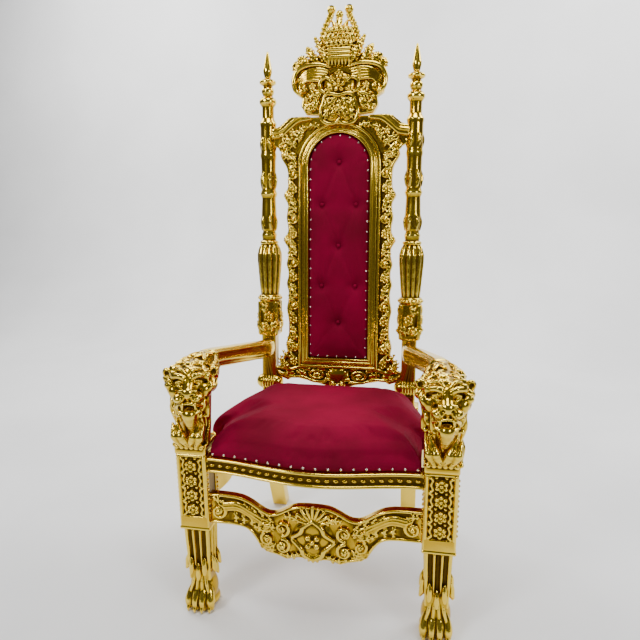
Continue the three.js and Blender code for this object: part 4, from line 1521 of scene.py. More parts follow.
    def _head(self, wood: Ornament) -> None:
        """The skull, brows, cheeks, nose, muzzle and ears."""
        mid = self.face_height
        self._lump(wood, (0, -12, mid - 4), (55, 54, 54))
        self._lump(wood, (0, -42, mid + 28), (34, 22, 18), 6)
        self._bar(wood, [[0, -58, mid + 24], [0, -74, mid + 4], [0, -88, mid - 8]], [16, 17, 19], 4)
        self._lump(wood, (0, -88, mid - 10), (24, 15, 13), 3)
        self._bar(wood, [[-22, -92, mid - 2], [0, -99, mid + 1], [22, -92, mid - 2]], [4, 5, 4], 1.2)
        self._bar(wood, [[0, -97, mid - 12], [0, -96, mid - 28]], [7, 4], 3)
        self._lump(wood, (0, -54, mid - 66), (28, 34, 15), 3)
        for hand in (-1, 1):
            brow = [[hand * 5, -68, mid + 20], [hand * 20, -67, mid + 33], [hand * 38, -54, mid + 28],
                    [hand * 48, -38, mid + 12]]
            self._bar(wood, brow, [7, 9, 8, 5], 2)
            furrow = [[hand * 8, -62, mid + 38], [hand * 20, -58, mid + 50], [hand * 36, -46, mid + 44]]
            self._bar(wood, furrow, [4, 5, 3.5], 1.6)
            self._lump(wood, (hand * 40, -42, mid - 16), (20, 22, 22), 5)
            self._lump(wood, (hand * 21, -80, mid - 24), (20, 24, 14), 5)
            for k in range(3):
                whisker = [[hand * (13 + 5 * k), -107 + 4 * k, mid - 22 - 4 * k],
                           [hand * (33 + k), -90 + 4 * k, mid - 20 - 5 * k]]
                self._bar(wood, whisker, 1.5, 0.8, cut=True)
            self._bar(wood, [[0, -101, mid - 34], [hand * 16, -100, mid - 38], [hand * 33, -76, mid - 52]],
                      [5, 6, 5], 1.5)
            self._lump(wood, (hand * 13, -103, mid - 12), (6, 6, 3.6), 1, cut=True)
            self._lump(wood, (hand * 64, -14, mid + 28), (14, 9, 15), 2)
            self._lump(wood, (hand * 65, -23, mid + 28), (8, 7, 9), 1, cut=True)

    def _mouth(self, wood: Ornament) -> None:
        """The open mouth: its hollow, lips, tongue, teeth and the beard below."""
        mid = self.face_height
        self._lump(wood, (0, -84, mid - 51), (27, 60, 17), 2, cut=True)
        lip = [[-31, -62, mid - 50], [-27, -80, mid - 64], [0, -91, mid - 70], [27, -80, mid - 64],
               [31, -62, mid - 50]]
        self._bar(wood, lip, 5, 1.2)
        self._lump(wood, (0, -62, mid - 62), (14, 26, 5), 1.5)
        for hand in (-1, 1):
            self._bar(wood, [[hand * 18, -90, mid - 34], [hand * 17, -91, mid - 57]], [6.5, 1.6], 0.6)
            self._bar(wood, [[hand * 20, -82, mid - 68], [hand * 19, -85, mid - 48]], [5.5, 1.4], 0.6)
        for k in range(4):
            x = (k - 1.5) * 5.4
            self._bar(wood, [[x, -93, mid - 34], [x, -93, mid - 41]], [2.6, 1.8], 0.5)
            self._bar(wood, [[x, -88, mid - 68], [x, -88, mid - 61]], [2.6, 1.8], 0.5)
        chin = [[0, -80, mid - 74], [0, -72, mid - 94], [0, -60, mid - 120], [0, -50, mid - 136]]
        self._bar(wood, chin, [21, 19, 11, 3], 2)

    def _eyes(self, wood: Ornament) -> None:
        """The sunk eyes: each a ball between two lids, with a small pupil."""
        mid = self.face_height
        for hand in (-1, 1):
            self._lump(wood, (hand * 23, -69, mid + 12), (13, 11, 8.5), 2, cut=True)
            self._lump(wood, (hand * 23, -59, mid + 12), (9, 9, 8), 0.8)
            self._lump(wood, (hand * 22, -69, mid + 12), (2.6, 3, 2.6), 0.6, cut=True)
            upper = [[hand * 11, -67, mid + 10], [hand * 22, -70, mid + 20], [hand * 35, -59, mid + 14]]
            lower = [[hand * 11, -67, mid + 8], [hand * 23, -68, mid + 3], [hand * 35, -59, mid + 11]]
            self._bar(wood, upper, 2.7, 0.8)
            self._bar(wood, lower, 2.3, 0.8)

    def build(self) -> None:
        """Both heads."""
        leg, span = Span.of("front_leg_right"), Span.of("lion_head_right")
        centre = (leg.middle[0], leg.high[1] - 45.0, span.low[2] - 0.3)
        for side, self.turn in self.outward:
            across = [side.value, 1, 1]
            name = f"lion_head_{side.word}_carved"
            carved_piece(name, self.carve(), self.gilding,
                         lambda points: (points + np.asarray(centre)) * across, side is Side.LEFT)


# ---------------------------------------------------------------- arms, rails and rear legs
@dataclass
class Arm:
    """A rounded arm with grooves along its sides, from the mane back to its post."""

    gilding: Material
    line: tuple = ((346, -182, 756), (340, -132, 754), (316, -40, 738), (278, 80, 718), (252, 150, 708),
                   (248, 230, 703))
    front: float = -151.7
    post_front: float = 25.3  # the post's flat front, this far before its leaned axis
    rings: int = 96
    around: int = 44

    def _rings(self) -> Array:
        """The right arm's sections, its two ends laid flat on the planes that it meets."""
        fine = flowing(self.line, 400)
        normal = np.array([0, math.cos(RAKE), -math.sin(RAKE)])
        rear = (fine - PIVOT) @ normal + self.post_front
        inside = np.flatnonzero((fine[:, 1] > self.front + 1) & (rear < -1))
        at = np.linspace(inside[0], inside[-1], self.rings)
        centre = np.stack([np.interp(at, np.arange(400), fine[:, k]) for k in range(3)], 1)
        along = np.gradient(centre, axis=0)
        along /= np.linalg.norm(along, axis=1, keepdims=True)
        across = np.cross(along, [0, 0, 1])
        across /= np.linalg.norm(across, axis=1, keepdims=True)
        rise = np.cross(across, along)
        angle = np.linspace(0, 2 * math.pi, self.around, endpoint=False)
        share = np.linspace(0, 1, self.rings)
        wide, high = 33 - 9 * share, 30 + 2 * share
        power = 0.72
        c = np.sign(np.cos(angle)) * np.abs(np.cos(angle)) ** power
        s = np.sign(np.sin(angle)) * np.abs(np.sin(angle)) ** power
        groove = sum(np.exp(-(((angle - g + math.pi) % (2 * math.pi) - math.pi) / 0.13) ** 2)
                     for g in np.radians([-22, 22, 52, 128, 158, 202]))
        fade = np.clip(np.minimum(share, 1 - share) / 0.06, 0, 1)[:, None]
        shrink = 1 - 0.085 * groove[None, :] * fade
        points = (centre[:, None] + across[:, None] * (wide[:, None] * c * shrink)[..., None]
                  + rise[:, None] * (high[:, None] * s * shrink)[..., None])
        points[0] += along[0] * ((self.front - points[0][:, 1]) / along[0][1])[:, None]
        gap = -self.post_front - (points[-1] - PIVOT) @ normal
        points[-1] += along[-1] * (gap / (along[-1] @ normal))[:, None]
        return points

    def build(self) -> None:
        """Both arms."""
        rings = self._rings()
        for side in Side:
            shaped_piece(f"arm_{side.word}", rings * [side.value, 1, 1], self.gilding, 6)


def bow(x: Array | float) -> Array | float:
    """How far the seat's front stands in depth at x: it swells forward in the middle."""
    return -292 - 40 * np.cos(math.pi * np.asarray(x) / (2 * RAIL_REACH)) ** 2


def bow_outward(x: Array) -> Array:
    """The ways straight out of the seat's bowed front."""
    return np.column_stack([(bow(x + 1) - bow(x - 1)) / 2, -np.ones_like(x), 0 * x])


@dataclass
class SeatFrame:
    """The bowed front rail with its beads, the side rails, the rear rail and the rear legs."""

    gilding: Material
    beads: int = 25
    cell: float = 2.4
    triangles: int = 14000

    def build(self) -> None:
        """All the rails and the rear legs."""
        self._front_rail()
        self._beads()
        self._side_rails()
        self._rear_rail()
        self._rear_legs()

    def _front_rail(self) -> None:
        """The bar between the legs, with a rounded fillet along its upper and lower edge."""
        span = Span.of("seat_rail_front")
        low, high = span.low[2], span.high[2]
        fillet = np.radians(np.linspace(-90, 90, 7))
        section = [[40.0, low], [6.0, low]]
        section += [[-4.6 * math.cos(a), low + 4.5 + 4.5 * math.sin(a)] for a in fillet]
        section += [[0.0, low + 10.5], [1.6, low + 13], [1.6, high - 13], [0.0, high - 10.5]]
        section += [[-4.6 * math.cos(a), high - 4.5 + 4.5 * math.sin(a)] for a in fillet]
        section += [[6.0, high], [40.0, high]]
        shape = np.array(section)
        rings = []
        for x in np.linspace(span.low[0], span.high[0], 81):
            rings.append(np.column_stack([np.full(len(shape), x), bow(x) + shape[:, 0], shape[:, 1]]))
        shaped_piece("seat_rail_front", np.array(rings), self.gilding, 4)

    def _beads(self) -> None:
        """A row of oval beads along the face of the front rail."""
        span = Span.of("seat_rail_front")
        x = np.linspace(span.low[0] + 16, span.high[0] - 16, self.beads)
        places = np.column_stack([x, bow(x) + 1.6, np.full_like(x, span.middle[2])])
        head = dome("bead", 5.6, 5.4, 1.0, 12, 1.5)
        Studs("rail_beads", places, bow_outward(x), head, self.gilding, Slot.GILT, 0.03, 5).build()

    def _side_rails(self) -> None:
        """Each side rail: a board whose lower edge drops in a carved bracket beside the front leg."""
        start, end = np.array([352.0, -209.7]), np.array([260.0, 176.2])
        run = end - start
        length = float(np.hypot(*run))
        share = np.linspace(0, 1, 40)
        lower = 450 - 125 / (1 + np.exp((share - 0.42) / 0.04)) - 30 * np.exp(-(((share - 1) / 0.12) ** 2))
        outline = np.vstack([[[0, 507]], np.column_stack([share * length, lower]), [[length, 507]]])
        wood = Ornament((-16, -30, 300), (length + 14, 18, 515), self.cell)
        wood.board(outline, -11, 14, 3)
        face = Face((0, -11, 0))
        rim = np.column_stack([share * length, lower + 6])
        wood.stroke(face.at(raised(rim, 1.0)), 5, 1)
        wood.stroke(face.at([[4, 500, 1], [length - 4, 500, 1]]), 5, 1)
        wood.scroll(face, (48, 372), 30, 200, 1.3, 5, 0.5)
        wood.leaves(
            face,
            ([[88, 380], [120, 410], [150, 452]], 24, 5, 5, 0, 4),
            ([[20, 400], [40, 430], [90, 450]], 18, 4, 4.5, 0, 4),
            ([[300, 470], [250, 476], [190, 470]], 12, 5, 4, 0, 3),
        )
        wood.rosette(face, (340, 462), 15, 6, 1)
        wood.trim(0, 1.0, above=False)
        surface = wood.surface(self.triangles)
        turn = math.atan2(run[1], run[0])

        def move(points: Array) -> Array:
            """Turns the rail along its line."""
            x = start[0] + points[:, 0] * math.cos(turn) - points[:, 1] * math.sin(turn)
            y = start[1] + points[:, 0] * math.sin(turn) + points[:, 1] * math.cos(turn)
            return np.column_stack([x, np.clip(y, start[1], end[1]), points[:, 2]])

        carved_pair("seat_rail", surface, self.gilding, move)

    def _rear_rail(self) -> None:
        """The plain bar between the rear legs, its long edges rounded."""
        span = Span.of("seat_rail_rear")
        half = (span.high - span.low)[1:] / 2
        ring = rounded_section(half[0], half[1], 4, 5)
        rings = [np.column_stack([np.full(len(ring), x), ring + span.middle[1:]])
                 for x in np.linspace(span.low[0], span.high[0], 40)]
        shaped_piece("seat_rail_rear", np.array(rings), self.gilding, 3)

    def _rear_legs(self) -> None:
        """Each rear leg: a square post that kicks back below the seat, its edges rounded."""
        span = Span.of("rear_leg_right")
        half = (span.high[0] - span.low[0]) / 2
        top_y, foot_y = span.low[1] + half, span.high[1] - half
        straight = span.high[2] - 90
        for side in Side:
            rings = []
            for z in np.concatenate([[0.0, 1.5, 4.0], np.linspace(10, span.high[2], 54)]):
                drop = max(0.0, (straight - z) / straight)
                y = top_y + (foot_y - top_y) * drop**1.4
                inset = 3.0 if z == 0 else 1.2 if z < 2 else 0.0
                ring = rounded_section(half - inset, half - inset, 5, 5)
                ring[:, 1] *= np.where(ring[:, 1] < 0, 1 - 0.12 * drop, 1)
                rings.append(raised(ring + [side.value * span.middle[0], y], z))
            shaped_piece(f"rear_leg_{side.word}", np.array(rings), self.gilding, 3)


def rounded_section(across: float, up: float, corner: float, steps: int) -> Array:
    """A rectangle with rounded corners, from its half sizes, anticlockwise."""
    rows = []
    for k, (sx, sy) in enumerate(((1, 1), (-1, 1), (-1, -1), (1, -1))):
        for angle in np.radians(90 * k + np.linspace(0, 90, steps)):
            rows.append([sx * (across - corner) + corner * math.cos(angle),
                         sy * (up - corner) + corner * math.sin(angle)])
    return np.array(rows)


# ---------------------------------------------------------------- apron
@dataclass
class Apron:
    """The carved board between the front legs, about a diamond cartouche with a flower."""

    gilding: Material
    cell: float = 2.2
    triangles: int = 76000

    def carve(self, span: Span) -> Surface:
        """Carves the board; the left half mirrors the right."""
        reach, back = span.high[0], span.high[1]
        ground = back - 20
        wood = Ornament((0, span.low[1] - 8, span.low[2] - 12), (reach + 6, back + 4, span.high[2] + 10),
                        self.cell, True)
        x = np.linspace(0, reach, 90)
        upper = 391 - 48 * np.exp(-(((x - 122) / 60) ** 2)) - 14 * np.exp(-((x / 62) ** 2))
        drop = 1 / (1 + np.exp((x - 164) / 15))
        lower = 294 - 96 * drop + 10 * np.abs(np.sin(math.pi * x / 78)) * drop
        half = np.vstack([np.column_stack([x, lower]), np.column_stack([x, upper])[::-1]])
        wood.board(mirrored(half), ground, back, 3)
        face = Face((0, ground, 0))
        for line in (lower + 5, upper - 5):
            wood.stroke(face.at(raised(np.column_stack([x, line]), 1.0)), 4.6, 1)
        self._arms(wood, face)
        self._middle(wood, face)
        wood.trim(0, reach, above=True)
        wood.trim(1, back, above=True)
        return wood.surface(self.triangles)

    @staticmethod
    def _arms(wood: Ornament, face: Face) -> None:
        """The long grooved leaves and the volutes at the ends."""
        wood.scroll(face, (280, 336), 24, 100, 1.5, 6.5, 3)
        wood.leaf(face, [[298, 372], [282, 374], [262, 366]], 12, 3, 5, 2, 3)
        for rise, thick in ((9, 6.5), (0, 7.5), (-9, 6.0)):
            line = [[262, 352 + rise], [222, 356 + rise], [184, 336 + rise], [146, 312 + rise * 1.3],
                    [116, 304 + rise * 1.5]]
            wood.vine(face, raised(line, 3), [thick, thick, thick * 0.7, 3.0], 18, 1)
        for k in range(5):
            root = np.array([232 - 24 * k, 340 - 5 * k])
            wood.leaf(face, [root, root + [-6, -18], root + [-2, -36 + 3 * k]], 11, 3, 4.4, 1, 4)
        for k in range(4):
            root = np.array([190 - 22 * k, 350 - 10 * k])
            wood.leaf(face, [root, root + [4, 10], root + [14, 18]], 8, 2, 3.6, 1, 3)

    @staticmethod
    def _middle(wood: Ornament, face: Face) -> None:
        """The cartouche with its flower, the flower scrolls beside it and the leaves above and below."""
        mid = 272  # the height of the flower
        wood.ball((0, face.origin[1], mid), (58, 15, 60), 6)
        for rise in (1, -1):
            line = [[0, mid + rise * 62], [26, mid + rise * 44], [34, mid + rise * 26], [60, mid + rise * 4]]
            wood.vine(face, [[*p, h] for p, h in zip(line, (9, 12, 13, 6))], [6, 7, 7, 6], 14, 1)
            wood.scroll(face, (90, mid + rise * 28), 23, -90 * rise, -1.35 * rise, 6, 5)
            wood.rosette(face, (90, mid + rise * 28), 10, 5, 11)
            spine = [[112, mid + rise * 26], [134, mid + rise * 34], [152, mid + rise * 22]]
            wood.leaf(face, spine, 17, 4, 5, 2, 5)
        wood.rosette(face, (0, mid), 27, 4, 13, 45)
        wood.fan(face, (0, 322), 12, 52, 15, 165, 9, 5.2, 6)
        wood.fan(face, (0, 236), 10, 32, 200, 340, 7, 4.6, 8)
        wood.leaves(
            face,
            ([[30, 322], [58, 342], [86, 338]], 16, 4, 5, 3, 5),
            ([[36, 222], [66, 212], [104, 218]], 13, 4, 4.6, 2, 4),
            ([[112, 226], [140, 232], [160, 252]], 13, 4, 4.4, 2, 4),
        )
        wood.scroll(face, (136, 262), 19, 60, -1.4, 5.4, 4)
        wood.leaf(face, [[128, 286], [150, 292], [176, 300]], 13, 4, 5, 3, 4)

    def build(self) -> None:
        """The apron."""
        surface = self.carve(Span.of("apron_front"))
        carved_piece("apron_front_carved", surface, self.gilding, lambda points: points)


# ---------------------------------------------------------------- back
LOBES = ((1366, 24, 30), (1232, 14, 18), (1160, 6, 24), (1082, 16, 18), (1000, 7, 18), (930, 7, 18),
         (840, 7, 26),
         (712, 10, 26), (640, 32, 32))  # border lobes: height, how far each stands out, half its length


def border(z: Array | float) -> Array | float:
    """Half the width of the back's carved border at a height."""
    height = np.asarray(z, float)
    out = 178 + sum(out * np.exp(-(((height - at) / length) ** 2)) for at, out, length in LOBES)
    return np.minimum(out, 215.5)


@dataclass
class BackFrame:
    """The arched frame of the panel: ridged moulding, leafy border, shoulders and lower rail."""

    gilding: Material
    half: float = PANEL[0]
    bottom: float = PANEL[1]
    springing: float = PANEL[2]
    plate_front: float = -9.0
    back: float = 19.0
    cell: float = 2.4
    triangles: int = 172000

    def carve(self) -> Surface:
        """Carves the frame upright; the left half mirrors the right."""
        wood = Ornament((0, -46, 545), (236, 26, 1525), self.cell, True)
        height = np.linspace(622, 1384, 120)
        lower = [[0, 572], [34, 564], [66, 572], [130, 586], [160, 592], [182, 580], [204, 588], [227, 596],
                 [227, 630]]
        upper = [[227, 1400], [227, 1456], [206, 1464], [186, 1480], [160, 1502], [128, 1514], [112, 1490],
                 [0, 1490]]
        half = np.vstack([lower, np.column_stack([border(height), height]), upper])
        wood.board(mirrored(half), self.plate_front, self.back, 3)
        ring = arch(self.half + 35, self.bottom - 35, self.springing, 40)
        wood.board(ring, self.plate_front - 5, self.back, 4)
        face = Face((0, self.plate_front, 0))
        self._border(wood, face)
        self._shoulder(wood, face)
        self._lower_rail(wood, face)
        for margin, thick, out in ((32, 5.0, 8.5), (22, 3.4, 7.0), (14.5, 4.4, 9.0), (5, 4.6, 9.5)):
            wood.stroke(face.at(raised(self._half_arch(margin), out)), thick, 1.0)
        wood.board(arch(self.half, self.bottom, self.springing, 60), -60, 60, 0.5, 0.5, cut=True)
        wood.trim(1, self.back, above=True)
        wood.trim(2, 1490.0, above=True)
        return wood.surface(self.triangles)

    def _half_arch(self, margin: float) -> Array:
        """The right half of the opening's edge grown by a margin, from the bottom round to the top."""
        half = self.half + margin
        angle = np.linspace(0, math.pi / 2, 22)
        head = np.column_stack([half * np.cos(angle), self.springing + half * np.sin(angle)])
        side = [[0, self.bottom - margin], [half, self.bottom - margin], [half, self.bottom + 200],
                [half, self.bottom + 420]]
        return np.vstack([side, head])

    @staticmethod
    def _border(wood: Ornament, face: Face) -> None:
        """Flowers, scrolls and leaves by turns up the border, inside a beaded rim."""
        height = np.linspace(630, 1384, 110)
        wood.stroke(face.at(raised(np.column_stack([border(height) - 6, height]), 2.0)), 4.6, 1)
        pitch = 50.0
        for k in range(15):
            z = 652 + pitch * k
            edge = float(border(z))
            if k % 3 == 0:
                wood.rosette(face, (158, z), 16, 6, 4)
            elif k % 3 == 1:
                wood.scroll(face, (159, z), 16, 90, 1.4, 4.8, 3)
            else:
                wood.leaf(face, [[148, z - 24], [160, z], [156, z + 26]], 15, 4, 5, 2, 5)
            wood.leaf(face, [[164, z + 12], [edge - 16, z + 22], [edge - 7, z + 40]], 11, 3, 4.4, 2, 4)
            curl = [[150, z + 12], [165, z + 25], [172, z + 38], [160, z + 44]]
            wood.vine(face, raised(curl, 4), [4.4, 4, 2.6], 10, 0.8)
        for at, out, _ in LOBES:
            if out > 9:
                edge = float(border(at))
                wood.leaf(face, [[edge - 36, at - 12], [edge - 18, at], [edge - 5, at + 10]], 15, 4, 5, 4, 5)

    @staticmethod
    def _shoulder(wood: Ornament, face: Face) -> None:
        """The swan-neck rails over each shoulder, and the leaves that fill the corner below them."""
        line = np.array([[226, 1440], [196, 1446], [172, 1466], [140, 1489], [100, 1496]])
        for rise, thick in ((0, 8.5), (-13, 6.0), (11, 5.0)):
            wood.vine(face, [[x, z + rise, 7] for x, z in line], thick, 20, 1)
        wood.leaves(
            face,
            ([[150, 1392], [166, 1416], [202, 1424]], 20, 5, 5.4, 3, 5),
            ([[138, 1410], [134, 1440], [116, 1464]], 17, 5, 5, 3, 5),
            ([[60, 1456], [88, 1462], [118, 1452]], 13, 4, 5, 3, 5),
        )
        wood.scroll(face, (188, 1392), 18, 80, -1.4, 5.2, 3)
        wood.rosette(face, (158, 1440), 13, 5, 5)

    @staticmethod
    def _lower_rail(wood: Ornament, face: Face) -> None:
        """The lower rail: a shell in the middle, oval cartouches and scrolled arms to the posts."""
        wood.ball((0, -10, 606), (42, 14, 32), 4)
        wood.fan(face, (0, 588), 8, 42, 8, 172, 9, 5.4, 6)
        wood.scroll(face, (16, 580), 12, 200, 1.2, 4.6, 8)
        angle = np.linspace(0, 2 * math.pi, 26)
        ring = np.column_stack([76 + 24 * np.cos(angle), 608 + 14 * np.sin(angle), np.full(26, 6.0)])
        wood.stroke(face.at(ring), 4.4, 0.8)
        wood.ball((76, -12, 608), (15, 9, 8), 2)
        wood.vine(face, [[104, 626, 4], [140, 632, 4], [176, 622, 4], [212, 630, 4]], [7, 6, 7, 5], 18, 1)
        wood.vine(face, [[44, 584, 3], [84, 582, 4], [128, 596, 4], [176, 596, 4], [216, 612, 3]],
                  [5, 6, 5], 18, 1)
        for root, bend, tip in (
            ([112, 602], [130, 614], [150, 612]), ([158, 606], [176, 612], [196, 606]),
            ([196, 636], [206, 652], [204, 672]), ([46, 622], [58, 634], [84, 634]),
        ):
            wood.leaf(face, [root, bend, tip], 13, 4, 4.6, 2, 4)

    def build(self) -> None:
        """The frame."""
        carved_piece("back_frame_carved", self.carve(), self.gilding, lean_back)


@dataclass
class Crest:
    """The winged cartouche under an open crown."""

    gilding: Material
    ground: float = -22.0
    back: float = 14.0
    cell: float = 1.9
    triangles: int = 118000

    def carve(self) -> Surface:
        """Carves the crest upright; the left half mirrors the right."""
        wood = Ornament((0, -62, 1446), (172, 22, 1842), self.cell, True)
        half = [
            [0, 1472], [30, 1456], [50, 1460], [60, 1474], [66, 1492], [112, 1496], [128, 1522], [124, 1548],
            [146, 1562], [152, 1600], [147, 1632], [128, 1648], [98, 1658], [66, 1684], [48, 1706], [0, 1712],
        ]
        wood.board(mirrored(np.array(half, float)), self.ground, self.back, 4)
        face = Face((0, self.ground, 0))
        self._wings(wood, face)
        self._cartouche(wood, face)
        self._crown(wood)
        wood.trim(1, self.back, above=True)
        wood.slab((-200, -23.3, 1300), (200, 80, 1490.3), 0.5, 0.5, cut=True)
        return wood.surface(self.triangles)

    @staticmethod
    def _wings(wood: Ornament, face: Face) -> None:
        """The wings with their rolled rims and long feathers, and the leaf sprays that stand on them."""
        rim = [[30, 1640, 8], [66, 1648, 10], [106, 1646, 10], [138, 1632, 9], [151, 1604, 8],
               [147, 1574, 8], [132, 1560, 9]]
        wood.vine(face, rim, [4, 6.5, 7.5, 8, 8, 7, 6], 36, 1)
        wood.ball(face.at([[130, 1562, 9]])[0], 8.5, 1)
        for k in range(5):
            fall = 9.0 * k
            feather = [[36 + 3 * k, 1630 - 0.8 * fall, 7], [70, 1635 - fall, 11],
                       [108, 1628 - 0.8 * fall, 10],
                       [137 - 3 * k, 1604 - 0.6 * fall, 6]]
            wood.vine(face, feather, [3, 4.6, 4.8, 3], 16, 0.8)
        wood.rosette(face, (88, 1580), 13, 5, 8)
        wood.scroll(face, (118, 1578), 15, 90, -1.3, 4.6, 7)
        wood.leaves(
            face,
            ([[56, 1562], [84, 1554], [118, 1538]], 20, 5, 6, 4, 6),
            ([[68, 1544], [80, 1528], [84, 1504]], 15, 5, 5, 5, 5),
            ([[70, 1512], [92, 1526], [120, 1512]], 16, 4, 5, 3, 5),
        )
        wood.scroll(face, (100, 1508), 15, 120, -1.35, 5, 5)
        sprays = (((46, 1650), (60, 1692), (80, 1731)), ((72, 1650), (92, 1680), (106, 1702)),
                  ((98, 1648), (118, 1662), (135, 1671)), ((124, 1638), (140, 1646), (152, 1648)))
        for root, bend, tip in sprays:
            wood.vine(face, [[*root, -8], [*bend, -8], [*tip, -3]], [17, 12, 5], 10, 3)
            wood.leaf(face, [root, bend, tip], 17, 5, 7, 2, 5)
            wood.ball(face.at([[*tip, 1]])[0], 6.4, 1)
        wood.leaf(face, [[38, 1652], [45, 1676], [56, 1702]], 15, 5, 6, 9, 5)

    @staticmethod
    def _cartouche(wood: Ornament, face: Face) -> None:
        """The flowers in the middle and the bell-shaped cartouche of crumpled leaves below them."""
        wood.ball((0, face.origin[1], 1586), (52, 16, 40), 6)
        for centre, radius, out in (((0, 1580), 22, 15), ((0, 1616), 15, 13), ((34, 1566), 14, 11),
                                    ((24, 1600), 12, 13)):
            wood.rosette(face, centre, radius, 5, out)
        hook = [[22, 1592, 14], [42, 1606, 12], [62, 1596, 10], [64, 1574, 9], [50, 1562, 10]]
        wood.vine(face, hook, [4, 6, 6, 5], 18, 1)
        bell = [[0, 1550, 14], [30, 1556, 12], [47, 1549, 11], [53, 1526, 10], [62, 1504, 9], [56, 1476, 8],
                [36, 1463, 8], [14, 1464, 8], [0, 1476, 9]]
        wood.vine(face, bell, 6.2, 40, 1)
        wood.ball((28, face.origin[1] - 2, 1506), (31, 11, 38), 4)
        crumpled = (((6, 1546), (22, 1532), (27, 1510), 13), ((6, 1520), (20, 1500), (23, 1478), 13),
                    ((32, 1544), (44, 1524), (47, 1500), 12), ((30, 1506), (44, 1494), (42, 1476), 11),
                    ((0, 1540), (0, 1512), (0, 1486), 12))
        for root, bend, tip, width in crumpled:
            wood.leaf(face, [root, bend, tip], width, 4, 4.8, 9, 4)

    @staticmethod
    def _on_crown(across: float, up: float, out: float = 0.0) -> list[float]:
        """A point of the crown's round body, or so far out of it."""
        rest = max(1 - (across / 57) ** 2 - ((up - 1722) / 52) ** 2, 0)
        return [across, -16 - 28 * math.sqrt(rest) - out, up]

    def _crown(self, wood: Ornament) -> None:
        """The ribbed band with its drops, the leafy body, and the beaded arms that end in balls."""
        wood.slab((-34, -44, 1660), (34, 12, 1697), 4)
        for up in (1666, 1678, 1690):
            wood.stroke([[-34, -43, up], [34, -43, up]], 5.4, 1)
        for k in range(4):
            wood.stroke([[11.0 * k, -41, 1660], [11.0 * k, -37, 1644]], [5.6, 2.4], 0.8)
        wood.ball((0, -16, 1722), (54, 25, 48), 3)
        for row, (up, size) in enumerate(((1706, 15), (1728, 15), (1750, 13))):
            width = 54 * math.sqrt(max(1 - ((up - 1722) / 60) ** 2, 0.1))
            for k in range(4):
                across = min((k + 0.5 * (row % 2)) / 3.3, 0.97) * width
                for hand in (-1, 1):
                    tip = self._on_crown(across + hand * size * 0.55, up + size * 0.7, 2)
                    petal = [self._on_crown(across, up - size * 0.6),
                             self._on_crown(across + hand * size * 0.5, up, 5), tip]
                    wood.stroke(flowing(petal, 6), [3.4, 5.2, 2.2], 0.8)
                wood.ball(self._on_crown(across, up + size * 0.5, 3), 4.6, 0.8)
        side = [[54, -16, 1708], [56, -18, 1736], [47, -18, 1766], [34, -16, 1790], [29, -14, 1806]]
        middle = [[0, -40, 1760], [0, -34, 1776], [0, -29, 1788]]
        wood.stroke(flowing(side, 22), [7, 8, 8, 7], 1.4)
        wood.stroke(flowing(middle, 10), [9, 8, 7], 1.4)
        wood.stroke([[16, -14, 1764], [24, -16, 1782]], [11, 4], 3)
        for hand in (-1, 1):
            for at in flowing(side, 10)[1:-1]:
                wood.ball(at + [hand * 6.5, -5, 0], 5.4, 0.8)
            for at in flowing(middle, 4)[1:]:
                wood.ball(at + [hand * 7, -3, 0], 4.8, 0.8)
        wood.ball((29, -14, 1817.5), 14.4, 1)
        wood.ball((29, -27, 1817.5), 5.5, 1)
        wood.ball((0, -28, 1797), 13, 1)

    def build(self) -> None:
        """The crest."""
        carved_piece("crest_carved", self.carve(), self.gilding, lean_back)


